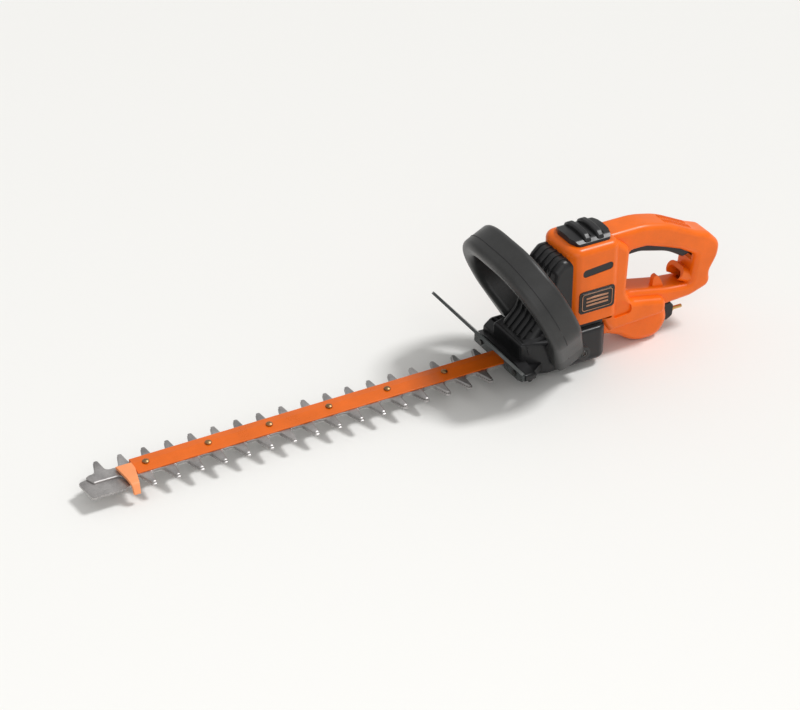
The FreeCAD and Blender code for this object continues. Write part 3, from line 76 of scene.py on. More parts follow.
SEAM_RADIUS = 0.0005
SEAM_RING_GAP = 0.003
SCREW_HEAD = 0.0018  # height of the heads of the case and shell screws
FOOT_SCREW_HEAD = 0.0022
RIVET_RIM = -0.0022  # underside of a bar rivet's rim, from its top
RIBS_FROM_BACK = 0.052  # middle of the grip ribs, from the back of the handle
RIBS_FROM_SEAM = 0.0052
BADGE_MARGIN = 0.0030
BADGE_CORNER = 0.0035

# Studio: camera, sun, sky, fill light and floor.
CAMERA_PLACE = (-0.957841, -1.722370, 1.312300)
CAMERA_RIGHT = (0.877, -0.480, 0.0)
CAMERA_UP = (0.258, 0.472, 0.843)
CAMERA_LENS = 103.8
CAMERA_SENSOR = 36.0
SUN_WAY = (0.64, -0.12, 1.0)
SUN_POWER = 1.9
SUN_ANGLE = 14
SKY_COLOUR = (1.0, 0.995, 0.98, 1.0)
SKY_POWER = 0.52
FILL_PLACE = (-0.7, -1.7, 1.1)
FILL_AIM = (0.1, 0, 0.08)
FILL_SIZE = 1.6
FILL_POWER = 8.0
FLOOR_COLOUR = (0.86, 0.855, 0.835, 1.0)
FLOOR_SIZE = 12

# Each finish: kind, linear colour, roughness, grain scale in 1/m, grain depth in mm, mottle.
FINISHES = {
    "orange_plastic": ("moulded", (0.88, 0.150, 0.003), 0.32, 2600, 0.012, 0.10),
    "black_plastic": ("moulded", (0.018, 0.018, 0.019), 0.32, 2200, 0.020, 0.25),
    "grip_black": ("moulded", (0.034, 0.034, 0.034), 0.38, 3400, 0.035, 0.20),
    "blade_steel": ("brushed", (0.43, 0.415, 0.41), 0.44, 900, 0.010, 0.45),
    "ground_steel": ("brushed", (0.42, 0.40, 0.39), 0.42, 2600, 0.012, 0.25),
    "bar_paint": ("enamel", (0.74, 0.130, 0.002), 0.30, 420, 0.030, 0.12),
    "peach_plastic": ("moulded", (0.92, 0.33, 0.13), 0.40, 2400, 0.014, 0.08),
    "guard_plastic": ("moulded", (0.060, 0.066, 0.066), 0.26, 1800, 0.010, 0.22),
    "zinc_steel": ("brushed", (0.50, 0.47, 0.40), 0.32, 2000, 0.010, 0.35),
    "bolt_bronze": ("brushed", (0.34, 0.21, 0.10), 0.40, 2000, 0.010, 0.35),
    "black_steel": ("brushed", (0.10, 0.098, 0.095), 0.36, 2000, 0.010, 0.30),
    "bearing_steel": ("brushed", (0.60, 0.60, 0.61), 0.20, 2400, 0.006, 0.15),
    "lamination": ("layered", (0.20, 0.20, 0.21), 0.40, 1500, 0.060, 0.20),
    "copper": ("wound", (0.62, 0.20, 0.07), 0.30, 1600, 0.120, 0.20),
    "brass": ("brushed", (0.66, 0.42, 0.15), 0.26, 1800, 0.008, 0.20),
    "carbon": ("moulded", (0.020, 0.020, 0.021), 0.60, 3000, 0.030, 0.30),
    "gear_steel": ("brushed", (0.38, 0.36, 0.33), 0.42, 1400, 0.016, 0.35),
    "white_nylon": ("moulded", (0.62, 0.60, 0.54), 0.45, 1800, 0.012, 0.08),
    "felt": ("felt", (0.16, 0.14, 0.12), 0.95, 5200, 0.150, 0.40),
    "badge_black": ("moulded", (0.016, 0.015, 0.014), 0.22, 2600, 0.006, 0.20),
    "badge_copper": ("brushed", (0.50, 0.27, 0.17), 0.34, 2600, 0.008, 0.20),
    "wire_blue": ("moulded", (0.03, 0.07, 0.30), 0.40, 1500, 0.010, 0.10),
}


# ---------------------------------------------------------------- finishes
class Nodes:
    """Short way to add nodes and links to one node tree."""

    def __init__(self, tree):
        self.tree = tree

    def add(self, kind, **values):
        """One node; a value goes to the socket of that name, or to the node's own setting."""
        made = self.tree.nodes.new(kind)
        for key, value in values.items():
            if key in made.inputs:
                self.feed(made.inputs[key], value)
            else:
                setattr(made, key, value)
        return made

    def feed(self, socket, value):
        """A link where the value is a socket, a plain number or colour elsewhere."""
        if isinstance(value, bpy.types.NodeSocket):
            self.tree.links.new(value, socket)
        else:
            socket.default_value = value


def colour4(colour, factor=1.0):
    """Colour with alpha, darkened or lightened."""
    return tuple(min(1.0, c * factor) for c in colour) + (1.0,)


def finish(name):
    """Procedural material of that finish, made once."""
    found = bpy.data.materials.get("trimmer_" + name)
    if found:
        return found
    kind, colour, rough, grain, depth, mottle = FINISHES[name]
    looks = bpy.context.scene.trimmer_looks
    if name == "orange_plastic":
        colour = tuple(looks.shell_colour)
    if name == "bar_paint":
        colour = tuple(looks.bar_colour)
    material = bpy.data.materials.new("trimmer_" + name)
    material.use_nodes = True
    material.node_tree.nodes.clear()
    n = Nodes(material.node_tree)
    place = n.add("ShaderNodeTexCoord").outputs["Object"]
    stretch = {"brushed": (0.06, 1.0, 1.0), "layered": (0.02, 0.02, 1.0), "wound": (0.05, 0.05, 1.0)}
    mapped = n.add("ShaderNodeMapping", Vector=place,
                   Scale=stretch.get(kind, (1.0, 1.0, 1.0))).outputs[0]
    cloud = n.add("ShaderNodeTexNoise", Vector=place, Scale=34.0, Detail=5.0,
                  Roughness=0.6).outputs[0]
    fine = n.add("ShaderNodeTexNoise", Vector=mapped, Scale=float(grain), Detail=3.0,
                 Roughness=0.55).outputs[0]
    specks = n.add("ShaderNodeTexNoise", Vector=place, Scale=700.0, Detail=6.0,
                   Roughness=0.7).outputs[0]
    blotch = n.add("ShaderNodeMath", operation="MULTIPLY_ADD").outputs[0]
    n.feed(blotch.node.inputs[0], specks)
    n.feed(blotch.node.inputs[1], 0.45)
    n.feed(blotch.node.inputs[2], cloud)
    tone = n.add("ShaderNodeValToRGB", Fac=blotch).outputs[0]
    ramp = tone.node.color_ramp
    ramp.elements[0].position, ramp.elements[1].position = 0.45, 0.98
    ramp.elements[0].color = colour4(colour, 1.0 - mottle)
    ramp.elements[1].color = colour4(colour, 1.0 + mottle)
    gloss = n.add("ShaderNodeMapRange", Value=blotch).outputs[0]
    n.feed(gloss.node.inputs["From Min"], 0.4)
    n.feed(gloss.node.inputs["From Max"], 1.0)
    n.feed(gloss.node.inputs["To Min"], max(0.04, rough - 0.07))
    n.feed(gloss.node.inputs["To Max"], rough + 0.09)
    height = fine
    if kind in ("layered", "wound"):
        pitch = 1.0 if kind == "layered" else 1.4
        bands = n.add("ShaderNodeTexWave", Vector=place, Scale=1000.0 / pitch)
        bands.bands_direction = "Z"
        height = bands.outputs[1]
    bump = n.add("ShaderNodeBump", Height=height, Distance=depth * MM, Strength=0.8).outputs[0]
    if kind == "enamel":
        peel = n.add("ShaderNodeTexNoise", Vector=place, Scale=260.0, Detail=2.0).outputs[0]
        bump = n.add("ShaderNodeBump", Height=peel, Distance=0.05 * MM, Strength=0.6,
                     Normal=bump).outputs[0]
    shader = n.add("ShaderNodeBsdfPrincipled", Normal=bump, Roughness=gloss)
    n.feed(shader.inputs["Specular IOR Level"], 0.36)
    n.feed(shader.inputs["Base Color"], tone)
    n.feed(shader.inputs["Metallic"], 1.0 if kind in ("brushed", "layered", "wound") else 0.0)
    if kind == "enamel":
        n.feed(shader.inputs["Coat Weight"], 0.35)
        n.feed(shader.inputs["Coat Roughness"], 0.12)
    if kind == "felt":
        n.feed(shader.inputs["Sheen Weight"], 0.6)
    n.add("ShaderNodeOutputMaterial", Surface=shader.outputs[0])
    return material


# ---------------------------------------------------------------- meshes
def smooth(mesh, angle=34):
    """Smooth faces, with edges sharper than the angle left sharp."""
    for face in mesh.polygons:
        face.use_smooth = True
    mesh.set_sharp_from_angle(angle=math.radians(angle))


def new_piece(name, mesh, *finishes):
    """Object at the origin for a finished mesh, with its materials."""
    piece = bpy.data.objects.new(name, mesh)
    bpy.context.scene.collection.objects.link(piece)
    if finishes:
        mesh.materials.clear()
    for item in finishes:
        mesh.materials.append(finish(item))
    return piece


def settle(piece, *nodes, body=None, slot=None):
    """The piece moves with the nodes' body and stands for them."""
    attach(piece, body or BODIES[nodes[0]])
    if nodes:
        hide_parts(*nodes)
    return piece


def merged(node):
    """The node's own mesh with its loose triangles joined and its flat faces whole."""
    form = bmesh.new()
    form.from_mesh(frame["nodes"][node].data)
    bmesh.ops.remove_doubles(form, verts=form.verts, dist=SAME_POINT)
    bmesh.ops.dissolve_limit(form, angle_limit=math.radians(FLAT_TURN), verts=form.verts,
                             edges=form.edges)
    return form


def to_mesh(form, name):
    """Finished mesh from a bmesh."""
    mesh = bpy.data.meshes.new(name)
    form.to_mesh(mesh)
    form.free()
    return mesh


def applied(piece):
    """The piece with its modifiers worked into its mesh."""
    ready = piece.evaluated_get(bpy.context.evaluated_depsgraph_get())
    mesh = bpy.data.meshes.new_from_object(ready)
    piece.modifiers.clear()
    piece.data = mesh
    return piece


def eased(node, name, edge_mm, *finishes, angle=38, fold=34):
    """Copy of a node with its sharp edges broken, smooth where it turns by less than fold."""
    piece = new_piece(name, to_mesh(merged(node), name), *(finishes or (SLOTS[node],)))
    if edge_mm:
        broken = piece.modifiers.new("broken_edges", "BEVEL")
        broken.limit_method = "ANGLE"
        broken.angle_limit = math.radians(angle)
        broken.width = edge_mm * MM
        broken.segments = 2
        broken.use_clamp_overlap = True
        applied(piece)
    smooth(piece.data, fold)
    weighted = piece.modifiers.new("weighted", "WEIGHTED_NORMAL")
    weighted.keep_sharp = True
    applied(piece)
    return settle(piece, node)


def islands(node):
    """Lowest and highest corners of each separate solid of a node."""
    form = merged(node)
    left = set(form.verts)
    found = []
    while left:
        stack = [left.pop()]
        group = []
        while stack:
            vert = stack.pop()
            group.append(vert.co.copy())
            for edge in vert.link_edges:
                other = edge.other_vert(vert)
                if other in left:
                    left.remove(other)
                    stack.append(other)
        points = np.array(group)
        found.append((Vector(points.min(0)), Vector(points.max(0))))
    form.free()
    return sorted(found, key=lambda box: (round(box[0].x, 4), round(box[0].y, 4)))


def lathe(profile, sides=32):
    """Closed turned form about Z from (radius, height) points, bottom pole to top pole."""
    form = bmesh.new()
    rings = []
    for radius, height in profile:
        if radius == 0:
            rings.append([form.verts.new((0, 0, height))])
            continue
        ring = []
        for k in range(sides):
            turn = 2 * math.pi * k / sides
            across, along = radius * math.cos(turn), radius * math.sin(turn)
            ring.append(form.verts.new((across, along, height)))
        rings.append(ring)
    for low, high in zip(rings, rings[1:]):
        for k in range(sides):
            j = (k + 1) % sides
            if len(low) == 1:
                form.faces.new((low[0], high[j], high[k]))
            elif len(high) == 1:
                form.faces.new((low[k], low[j], high[0]))
            else:
                form.faces.new((low[k], low[j], high[j], high[k]))
    return form


def cross_screw(name, head_rad, head_tall, shank_rad, shank_long):
    """Pan-headed screw with a cross recess, seated on the origin with its head towards +Z."""
    shank = [(0, -shank_long), (shank_rad * 0.5, -shank_long + shank_rad * 0.3),
             (shank_rad, -shank_long + shank_rad), (shank_rad, 0)]
    head = [(head_rad, 0), (head_rad, head_tall * 0.45), (head_rad * 0.86, head_tall * 0.8),
            (head_rad * 0.55, head_tall), (0, head_tall)]
    screw = new_piece(name, to_mesh(lathe(shank + head, 24), name))
    arms = bmesh.new()
    for turn in (0, math.pi / 2):
        bar = bmesh.ops.create_cube(arms, size=1.0)["verts"]
        size = Matrix.Diagonal((head_rad * 1.15, head_rad * 0.26, head_tall * 1.2, 1.0))
        move = Matrix.Translation((0, 0, head_tall * 1.05))
        bmesh.ops.transform(arms, matrix=Matrix.Rotation(turn, 4, "Z") @ move @ size,
                            verts=bar)
    cutter = new_piece(name + "_recess", to_mesh(arms, name + "_recess"))
    cut = screw.modifiers.new("recess", "BOOLEAN")
    cut.object = cutter
    cut.operation = "DIFFERENCE"
    cut.use_self = True
    applied(screw)
    bpy.data.objects.remove(cutter)
    return screw


# ---------------------------------------------------------------- repeated pieces
def end_tree(n, geometry, finish_name):
    """Last nodes of a tree: one real mesh, with its material."""
    whole = n.add("GeometryNodeRealizeInstances", Geometry=geometry)
    painted = n.add("GeometryNodeSetMaterial", Geometry=whole.outputs[0],
                    Material=finish(finish_name))
    n.add("NodeGroupOutput", Geometry=painted.outputs[0])


def run_tree(piece, tree, values):
    """The piece made a plain mesh by a tree, with the tree's values by socket name."""
    sockets = {item.name: item.identifier for item in tree.interface.items_tree
               if item.in_out == "INPUT"}
    modifier = piece.modifiers.new("tree", "NODES")
    modifier.node_group = tree
    for name, value in values.items():
        modifier[sockets[name]] = value
    applied(piece)
    if not piece.data.polygons:
        raise RuntimeError(piece.name + ": its tree made nothing")
    smooth(piece.data)
    return piece


def repeat_tree(finish_name):
    """Geometry Nodes tree that sets one piece on every point, turned to the point's facing."""
    name = "trimmer_repeat_" + finish_name
    if name in bpy.data.node_groups:
        return bpy.data.node_groups[name]
    tree = bpy.data.node_groups.new(name, "GeometryNodeTree")
    face = tree.interface
    face.new_socket("Geometry", in_out="INPUT", socket_type="NodeSocketGeometry")
    face.new_socket("Piece", in_out="INPUT", socket_type="NodeSocketObject")
    size = face.new_socket("Size", in_out="INPUT", socket_type="NodeSocketFloat")
    size.default_value = 1.0
    face.new_socket("Turn Variation", in_out="INPUT", socket_type="NodeSocketFloat")
    face.new_socket("Geometry", in_out="OUTPUT", socket_type="NodeSocketGeometry")
    n = Nodes(tree)
    given = n.add("NodeGroupInput").outputs
    facing = n.add("GeometryNodeInputNamedAttribute", data_type="FLOAT_VECTOR", Name="facing")
    align = n.add("FunctionNodeAlignRotationToVector", axis="Z", Vector=facing.outputs["Attribute"])
    chance = n.add("FunctionNodeRandomValue", data_type="FLOAT")
    n.feed(chance.inputs["Seed"], 7)
    spin = n.add("ShaderNodeMath", operation="MULTIPLY")
    n.feed(spin.inputs[0], chance.outputs[1])
    n.feed(spin.inputs[1], given["Turn Variation"])
    about = n.add("FunctionNodeAxisAngleToRotation", Axis=(0.0, 0.0, 1.0), Angle=spin.outputs[0])
    turned = n.add("FunctionNodeRotateRotation", rotation_space="LOCAL",
                   Rotation=align.outputs[0])
    n.feed(turned.inputs["Rotate By"], about.outputs[0])
    pattern = n.add("GeometryNodeObjectInfo", Object=given["Piece"])
    placed = n.add("GeometryNodeInstanceOnPoints", Points=given["Geometry"],
                   Instance=pattern.outputs["Geometry"], Rotation=turned.outputs[0],
                   Scale=given["Size"])
    end_tree(n, placed.outputs[0], finish_name)
    return tree


def path_tree(finish_name):
    """Geometry Nodes tree that runs a round bead along a line."""
    name = "trimmer_bead_" + finish_name
    tree = bpy.data.node_groups.new(name, "GeometryNodeTree")
    face = tree.interface
    face.new_socket("Geometry", in_out="INPUT", socket_type="NodeSocketGeometry")
    radius = face.new_socket("Radius", in_out="INPUT", socket_type="NodeSocketFloat")
    radius.default_value = SEAM_RADIUS
    gap = face.new_socket("Length Between Rings", in_out="INPUT", socket_type="NodeSocketFloat")
    gap.default_value = SEAM_RING_GAP
    face.new_socket("Geometry", in_out="OUTPUT", socket_type="NodeSocketGeometry")
    n = Nodes(tree)
    given = n.add("NodeGroupInput").outputs
    line = n.add("GeometryNodeMeshToCurve", Mesh=given["Geometry"])
    even = n.add("GeometryNodeResampleCurve", mode="LENGTH", Curve=line.outputs[0],
                 Length=given["Length Between Rings"])
    ring = n.add("GeometryNodeCurvePrimitiveCircle", Resolution=8, Radius=given["Radius"])
    bead = n.add("GeometryNodeCurveToMesh", Curve=even.outputs[0])
    n.feed(bead.inputs["Profile Curve"], ring.outputs[0])
    n.feed(bead.inputs["Fill Caps"], True)
    end_tree(n, bead.outputs[0], finish_name)
    return tree


def beaded(name, points, radius, finish_name):
    """Plain mesh of a bead along the points."""
    mesh = bpy.data.meshes.new(name)
    edges = [(k, k + 1) for k in range(len(points) - 1)]
    mesh.from_pydata([tuple(p) for p in points], edges, [])
    return run_tree(new_piece(name, mesh), path_tree(finish_name),
                    {"Radius": radius, "Length Between Rings": SEAM_RING_GAP})


def repeated(name, pattern, places, finish_name, turn=0.0):
    """Plain mesh of a pattern object repeated at (point, facing) places by the repeat tree."""
    mesh = bpy.data.meshes.new(name)
    mesh.from_pydata([tuple(point) for point, _ in places], [], [])
    facing = mesh.attributes.new("facing", "FLOAT_VECTOR", "POINT")
    facing.data.foreach_set("vector", [v for _, way in places for v in way])
    piece = run_tree(new_piece(name, mesh), repeat_tree(finish_name),
                     {"Piece": pattern, "Size": 1.0, "Turn Variation": turn})
    bpy.data.objects.remove(pattern)
    return piece


# ---------------------------------------------------------------- settings
class TrimmerLooks(bpy.types.PropertyGroup):
    """Sizes and colours of the trimmer's finish."""

    shell_colour: bpy.props.FloatVectorProperty(
        name="Shell Colour", description="Moulded colour of the housing and handle", subtype="COLOR",
        size=3, min=0.0, max=1.0, default=FINISHES["orange_plastic"][1])
    bar_colour: bpy.props.FloatVectorProperty(
        name="Bar Colour", description="Enamel colour of the support bar", subtype="COLOR",
        size=3, min=0.0, max=1.0, default=FINISHES["bar_paint"][1])
    edge: bpy.props.FloatProperty(
        name="Broken Edge", description="Rounding of the moulded edges", default=0.0006,
        min=0.0001, max=0.002, subtype="DISTANCE", unit="LENGTH")
    ground_edge: bpy.props.FloatProperty(
        name="Ground Edge", description="Width of the ground cutting edge on the blades", default=0.0011,
        min=0.0002, max=0.002, subtype="DISTANCE", unit="LENGTH")
    rib_count: bpy.props.IntProperty(
        name="Grip Ribs", description="Fine ribs across the top of the rear handle",
        default=12, min=2, max=40)
    rib_pitch: bpy.props.FloatProperty(
        name="Rib Spacing", description="Distance between those ribs", default=0.0030,
        min=0.001, max=0.01, subtype="DISTANCE", unit="LENGTH")
    badge_bars: bpy.props.IntProperty(
        name="Badge Bars", description="Plain raised bars on each badge", default=3, min=1, max=8)


# ---------------------------------------------------------------- pieces
def ground_blade(node, name, edge):
    """Blade plate whose top edge is ground to a slope all round its teeth."""
    form = merged(node)
    top = max(vert.co.z for vert in form.verts)
    near_top = 0.2 * MM
    face = max((f for f in form.faces
                if f.normal.z > 0.9 and abs(f.calc_center_median().z - top) < near_top),
               key=lambda f: f.calc_area())
    made = bmesh.ops.inset_region(form, faces=[face], thickness=edge, depth=0.0,
                                  use_even_offset=True, use_boundary=True)["faces"]
    inner = set(face.verts)
    rim = {vert for item in made for vert in item.verts} - inner
    for vert in rim:
        vert.co.z -= edge * GROUND_FALL
    for item in made:
        item.material_index = 1
    piece = new_piece(name, to_mesh(form, name), "blade_steel", "ground_steel")
    smooth(piece.data, 20)
    return settle(piece, node)


class TRIMMER_OT_blades(bpy.types.Operator):
    """Two toothed blades with ground edges"""

    bl_idname = "trimmer.blades"
    bl_label = "Blades"

    def execute(self, context):
        edge = context.scene.trimmer_looks.ground_edge
        ground_blade("upper_blade", "upper_blade_plate", edge)
        ground_blade("lower_blade", "lower_blade_plate", edge)
        return {"FINISHED"}


class TRIMMER_OT_bar(bpy.types.Operator):
    """Support bar, its bolts and the tip guard"""

    bl_idname = "trimmer.bar"
    bl_label = "Support Bar"

    def execute(self, context):
        eased("support_bar", "bar_channel", 0.5, fold=CREASE_TURN)
        eased("tip_guard", "tip_guard_plate", 0.5)
        eased("bar_washers", "bar_washer_rings", 0.12)
        eased("bar_nuts", "bar_nut_set", 0.15)
        boxes = islands("bar_bolts")
        low, high = boxes[0]
        head = (high.x - low.x) / 2
        foot = low.z - high.z
        neck = [(0, foot), (head * 0.42, foot), (head * 0.45, foot + 0.0003), (head * 0.45, RIVET_RIM)]
        cap = [(head * 0.98, RIVET_RIM), (head, -0.0019), (head * 0.94, -0.0011), (head * 0.70, -0.0004),
               (head * 0.36, 0.0), (head * 0.30, -0.0004), (0, -0.0005)]
        rivet = new_piece("bar_rivet", to_mesh(lathe(neck + cap), "bar_rivet"))
        places = [(Vector(((a.x + b.x) / 2, (a.y + b.y) / 2, b.z)), UPWARD) for a, b in boxes]
        settle(repeated("bar_rivets", rivet, places, "bolt_bronze"), "bar_bolts")
        return {"FINISHED"}


class TRIMMER_OT_gear_case(bpy.types.Operator):
    """Gear case, its cover, the hand guard and their fasteners"""

    bl_idname = "trimmer.gear_case"
    bl_label = "Gear Case and Guard"

    def execute(self, context):
        edge = context.scene.trimmer_looks.edge / MM
        eased("gear_case", "gear_case_shell", edge)
        eased("case_cover", "case_cover_shell", edge)
        eased("hand_guard", "hand_guard_plate", edge)
        eased("guard_screws", "guard_screw_pair", 0.15, "black_steel")
        boxes = islands("case_screws")
        low, high = boxes[0]
        head = (high.x - low.x) / 2
        screw = cross_screw("case_screw", head, SCREW_HEAD, head * 0.42,
                            high.z - low.z - SCREW_HEAD)
        places = [(Vector(((a.x + b.x) / 2, (a.y + b.y) / 2, a.z + SCREW_HEAD)), -UPWARD)
                  for a, b in boxes]
        settle(repeated("case_screw_set", screw, places, "zinc_steel", 1.5), "case_screws")
        return {"FINISHED"}


def surface_point(node, start, way):
    """First point that a straight line meets on a node, and the surface's facing there."""
    mesh = frame["nodes"][node].data
    tree = BVHTree.FromPolygons([v.co for v in mesh.vertices], [f.vertices for f in mesh.polygons])
    point, normal, _, _ = tree.ray_cast(start, way)
    if point is None:
        raise RuntimeError("no surface of %s in that direction" % node)
    return point, normal


def rib_bar(name, half_long, half_wide, rise):
    """Low rounded rib along Y, with its foot at the origin."""
    form = bmesh.new()
    steps = [(-1.0, -0.25), (-0.75, 0.55), (-0.3, 0.95), (0.3, 0.95), (0.75, 0.55), (1.0, -0.25)]
    rings = []
    for k in range(9):
        along = -1 + k / 4
        lift = 1 - 0.85 * abs(along) ** 5
        ring = [form.verts.new((u * half_wide, along * half_long, v * rise * (lift if v > 0 else 1)))
                for u, v in steps]
        rings.append(ring)
    for first, second in zip(rings, rings[1:]):
        for k in range(len(steps)):
            j = (k + 1) % len(steps)
            form.faces.new((first[k], first[j], second[j], second[k]))
    form.faces.new(rings[0])
    form.faces.new(list(reversed(rings[-1])))
    bmesh.ops.recalc_face_normals(form, faces=form.faces)
    return new_piece(name, to_mesh(form, name))


class TRIMMER_OT_housing(bpy.types.Operator):
    """Two halves of the housing, with their screws, grip ribs, vent cover and grilles"""

    bl_idname = "trimmer.housing"
    bl_label = "Housing"

    def execute(self, context):
        looks = context.scene.trimmer_looks
        edge = looks.edge / MM
        eased("housing_near", "housing_shell_near", edge)
        eased("housing_far", "housing_shell_far", edge)
        eased("vent_cover", "vent_cover_cap", edge * 0.8)
        eased("side_grilles", "side_grille_inserts", 0.3)
        boxes = islands("shell_screws")
        low, high = boxes[0]
        head = (high.x - low.x) / 2
        screw = cross_screw("shell_screw", head, SCREW_HEAD, head * 0.46,
                            high.y - low.y - SCREW_HEAD)
        places = [(Vector(((a.x + b.x) / 2, b.y - SCREW_HEAD, (a.z + b.z) / 2)),
                   Vector((0, 1, 0))) for a, b in boxes]
        settle(repeated("shell_screw_set", screw, places, "zinc_steel", 1.5), "shell_screws")
        self.grip_ribs(looks)
        return {"FINISHED"}

    def grip_ribs(self, looks):
        """Fine ribs across the top of the rear handle, each on one side of the seam."""
        _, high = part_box("housing_near")
        middle = high.x - RIBS_FROM_BACK
        places = []
        for side in (-1, 1):
            node = "housing_near" if side < 0 else "housing_far"
            for k in range(looks.rib_count):
                x = middle + (k - (looks.rib_count - 1) / 2) * looks.rib_pitch
                above = Vector((x, side * RIBS_FROM_SEAM, high.z + 0.1))
                places.append(surface_point(node, above, -UPWARD))
        rib = rib_bar("grip_rib", 0.0046, 0.0006, 0.0008)
        ribs = repeated("grip_ribs", rib, places, "orange_plastic")
        settle(ribs, body="root", slot="orange_plastic")


class TRIMMER_OT_badges(bpy.types.Operator):
    """Plain badges with a raised frame and raised bars"""

    bl_idname = "trimmer.badges"
    bl_label = "Badges"

    def execute(self, context):
        count = context.scene.trimmer_looks.badge_bars
        for node, side in (("badge_near", -1), ("badge_far", 1)):
            eased(node, node + "_plate", 0.3)
            low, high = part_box(node)
            face = low.y if side < 0 else high.y
            self.frame_and_bars(node, low, high, face, side, count)
        return {"FINISHED"}

    def frame_and_bars(self, node, low, high, face, side, count):
        """Rounded copper frame around the badge, and bars across its middle."""
        form = bmesh.new()
        half_x = (high.x - low.x) / 2 - BADGE_MARGIN
        half_z = (high.z - low.z) / 2 - BADGE_MARGIN
        centre = (low + high) / 2
        loops = []
        rim, sunk, proud = 0.0007, -0.0004, 0.00012
        for shrink, lift in ((0.0, sunk), (0.0, proud), (rim, proud), (rim, sunk)):
            radius = BADGE_CORNER - shrink
            ring = []
            for corner, (sx, sz) in enumerate(((1, 1), (-1, 1), (-1, -1), (1, -1))):
                for step in range(7):
                    turn = math.pi / 2 * (corner + step / 6)
                    x = sx * (half_x - BADGE_CORNER) + radius * math.cos(turn)
                    z = sz * (half_z - BADGE_CORNER) + radius * math.sin(turn)
                    ring.append(form.verts.new((centre.x + x, face + side * lift, centre.z + z)))
            loops.append(ring)
        for k in range(4):
            first, second = loops[k], loops[(k + 1) % 4]
            for j in range(len(first)):
                i = (j + 1) % len(first)
                form.faces.new((first[j], first[i], second[i], second[j]))
        bmesh.ops.recalc_face_normals(form, faces=form.faces)
        trim = new_piece(node + "_frame", to_mesh(form, node + "_frame"), "badge_copper")
        settle(trim, body="root", slot="badge_black")
        bar = rib_bar(node + "_bar", half_x * 0.72, 0.0011, 0.0005)
        bar.data.transform(Matrix.Rotation(math.pi / 2, 4, "Z"))
        pitch = half_z * 1.25 / count
        places = [(Vector((centre.x, face, centre.z + (k - (count - 1) / 2) * pitch)),
                   Vector((0, side, 0))) for k in range(count)]
        bars = repeated(node + "_bars", bar, places, "badge_copper")
        settle(bars, body="root", slot="badge_black")


class TRIMMER_OT_front_handle(bpy.types.Operator):
    """Bail handle in two shells, with its lever and foot screws"""

    bl_idname = "trimmer.front_handle"
    bl_label = "Front Handle"

    def execute(self, context):
        edge = context.scene.trimmer_looks.edge / MM
        eased("front_handle_shell", "bail_front_shell", edge * 1.7)
        eased("rear_handle_shell", "bail_rear_shell", edge * 1.7)
        eased("front_lever", "bail_lever", edge)
        boxes = islands("handle_screws")
        low, high = boxes[0]
        head = (high.x - low.x) / 2
        screw = cross_screw("handle_screw", head, FOOT_SCREW_HEAD, head * 0.46,
                            high.y - low.y - FOOT_SCREW_HEAD)
        places = []
        for a, b in boxes:
            side = 1 if a.y + b.y > 0 else -1
            outer = b.y - FOOT_SCREW_HEAD if side > 0 else a.y + FOOT_SCREW_HEAD
            places.append((Vector(((a.x + b.x) / 2, outer, (a.z + b.z) / 2)),
                           Vector((0, side, 0))))
        self.seam()
        settle(repeated("bail_foot_screws", screw, places, "black_steel", 1.0), "handle_screws")
        return {"FINISHED"}

    def seam(self):
        """Bead along the joint between the two shells, round the outside of the bail; its darker, matt
        carbon finish is painted shade of the groove there.
        """
        lean = math.radians(BAIL_LEAN)
        up = Vector((-math.sin(lean), 0, math.cos(lean)))
        across = Vector((math.cos(lean), 0, math.sin(lean)))
        form = merged("front_handle_shell")
        behind = max(vert.co.dot(across) for vert in form.verts)
        parting = behind - 0.05 * MM
        rim = [vert.co.copy() for vert in form.verts if vert.co.dot(across) > parting]
        form.free()
        middle = Vector((0, sum(p.dot(up) for p in rim) / len(rim)))
        spokes = {}
        for p in rim:
            flat = Vector((p.y, p.dot(up))) - middle
            key = round(math.degrees(math.atan2(flat.x, flat.y)) / SEAM_STEP)
            if key not in spokes or flat.length > spokes[key][0]:
                spokes[key] = (flat.length, p)
        points = [spokes[key][1] for key in sorted(spokes) if abs(key * SEAM_STEP) < SEAM_REACH]
        # The bead's darker, matt carbon finish is painted shade of the groove between the shells, not a
        # colour of the joint.
        bead = beaded("bail_seam", points, SEAM_RADIUS, "carbon")
        settle(bead, body="root", slot="grip_black")


class TRIMMER_OT_rear_controls(bpy.types.Operator):
    """Rear trigger and the inlet with its pins"""

    bl_idname = "trimmer.rear_controls"
    bl_label = "Rear Controls"

    def execute(self, context):
        eased("rear_trigger", "rear_trigger_bar", 0.5)
        eased("inlet_block", "inlet_body", 0.6)
        eased("inlet_pins", "inlet_pin_pair", 0.0)
        eased("trigger_pin", "trigger_hinge_pin", 0.1)
        return {"FINISHED"}


class TRIMMER_OT_inner_works(bpy.types.Operator):
    """Finishes of the gears, motor, switches and leads inside"""

    bl_idname = "trimmer.inner_works"
    bl_label = "Inner Works"

    def execute(self, context):
        for node, item in frame["nodes"].items():
            if not item.hide_render:
                item.data.materials.clear()
                item.data.materials.append(finish(SLOTS[node]))
        return {"FINISHED"}


# ---------------------------------------------------------------- stage
def look_matrix(place, right, up):
    """Camera matrix from its place and the directions of its right and top sides."""
    right = Vector(right).normalized()
    up = (Vector(up) - right * Vector(up).dot(right)).normalized()
    back = right.cross(up)
    turn = Matrix((right, up, back)).transposed().to_4x4()
    return Matrix.Translation(place) @ turn


def soft_light(name, place, aim, size, power):
    """Large square lamp aimed at a point."""
    data = bpy.data.lights.new(name, "AREA")
    data.size = size
    data.energy = power
    lamp = bpy.data.objects.new(name, data)
    bpy.context.scene.collection.objects.link(lamp)
    lamp.location = place
    lamp.rotation_euler = (Vector(aim) - Vector(place)).to_track_quat("-Z", "Y").to_euler()


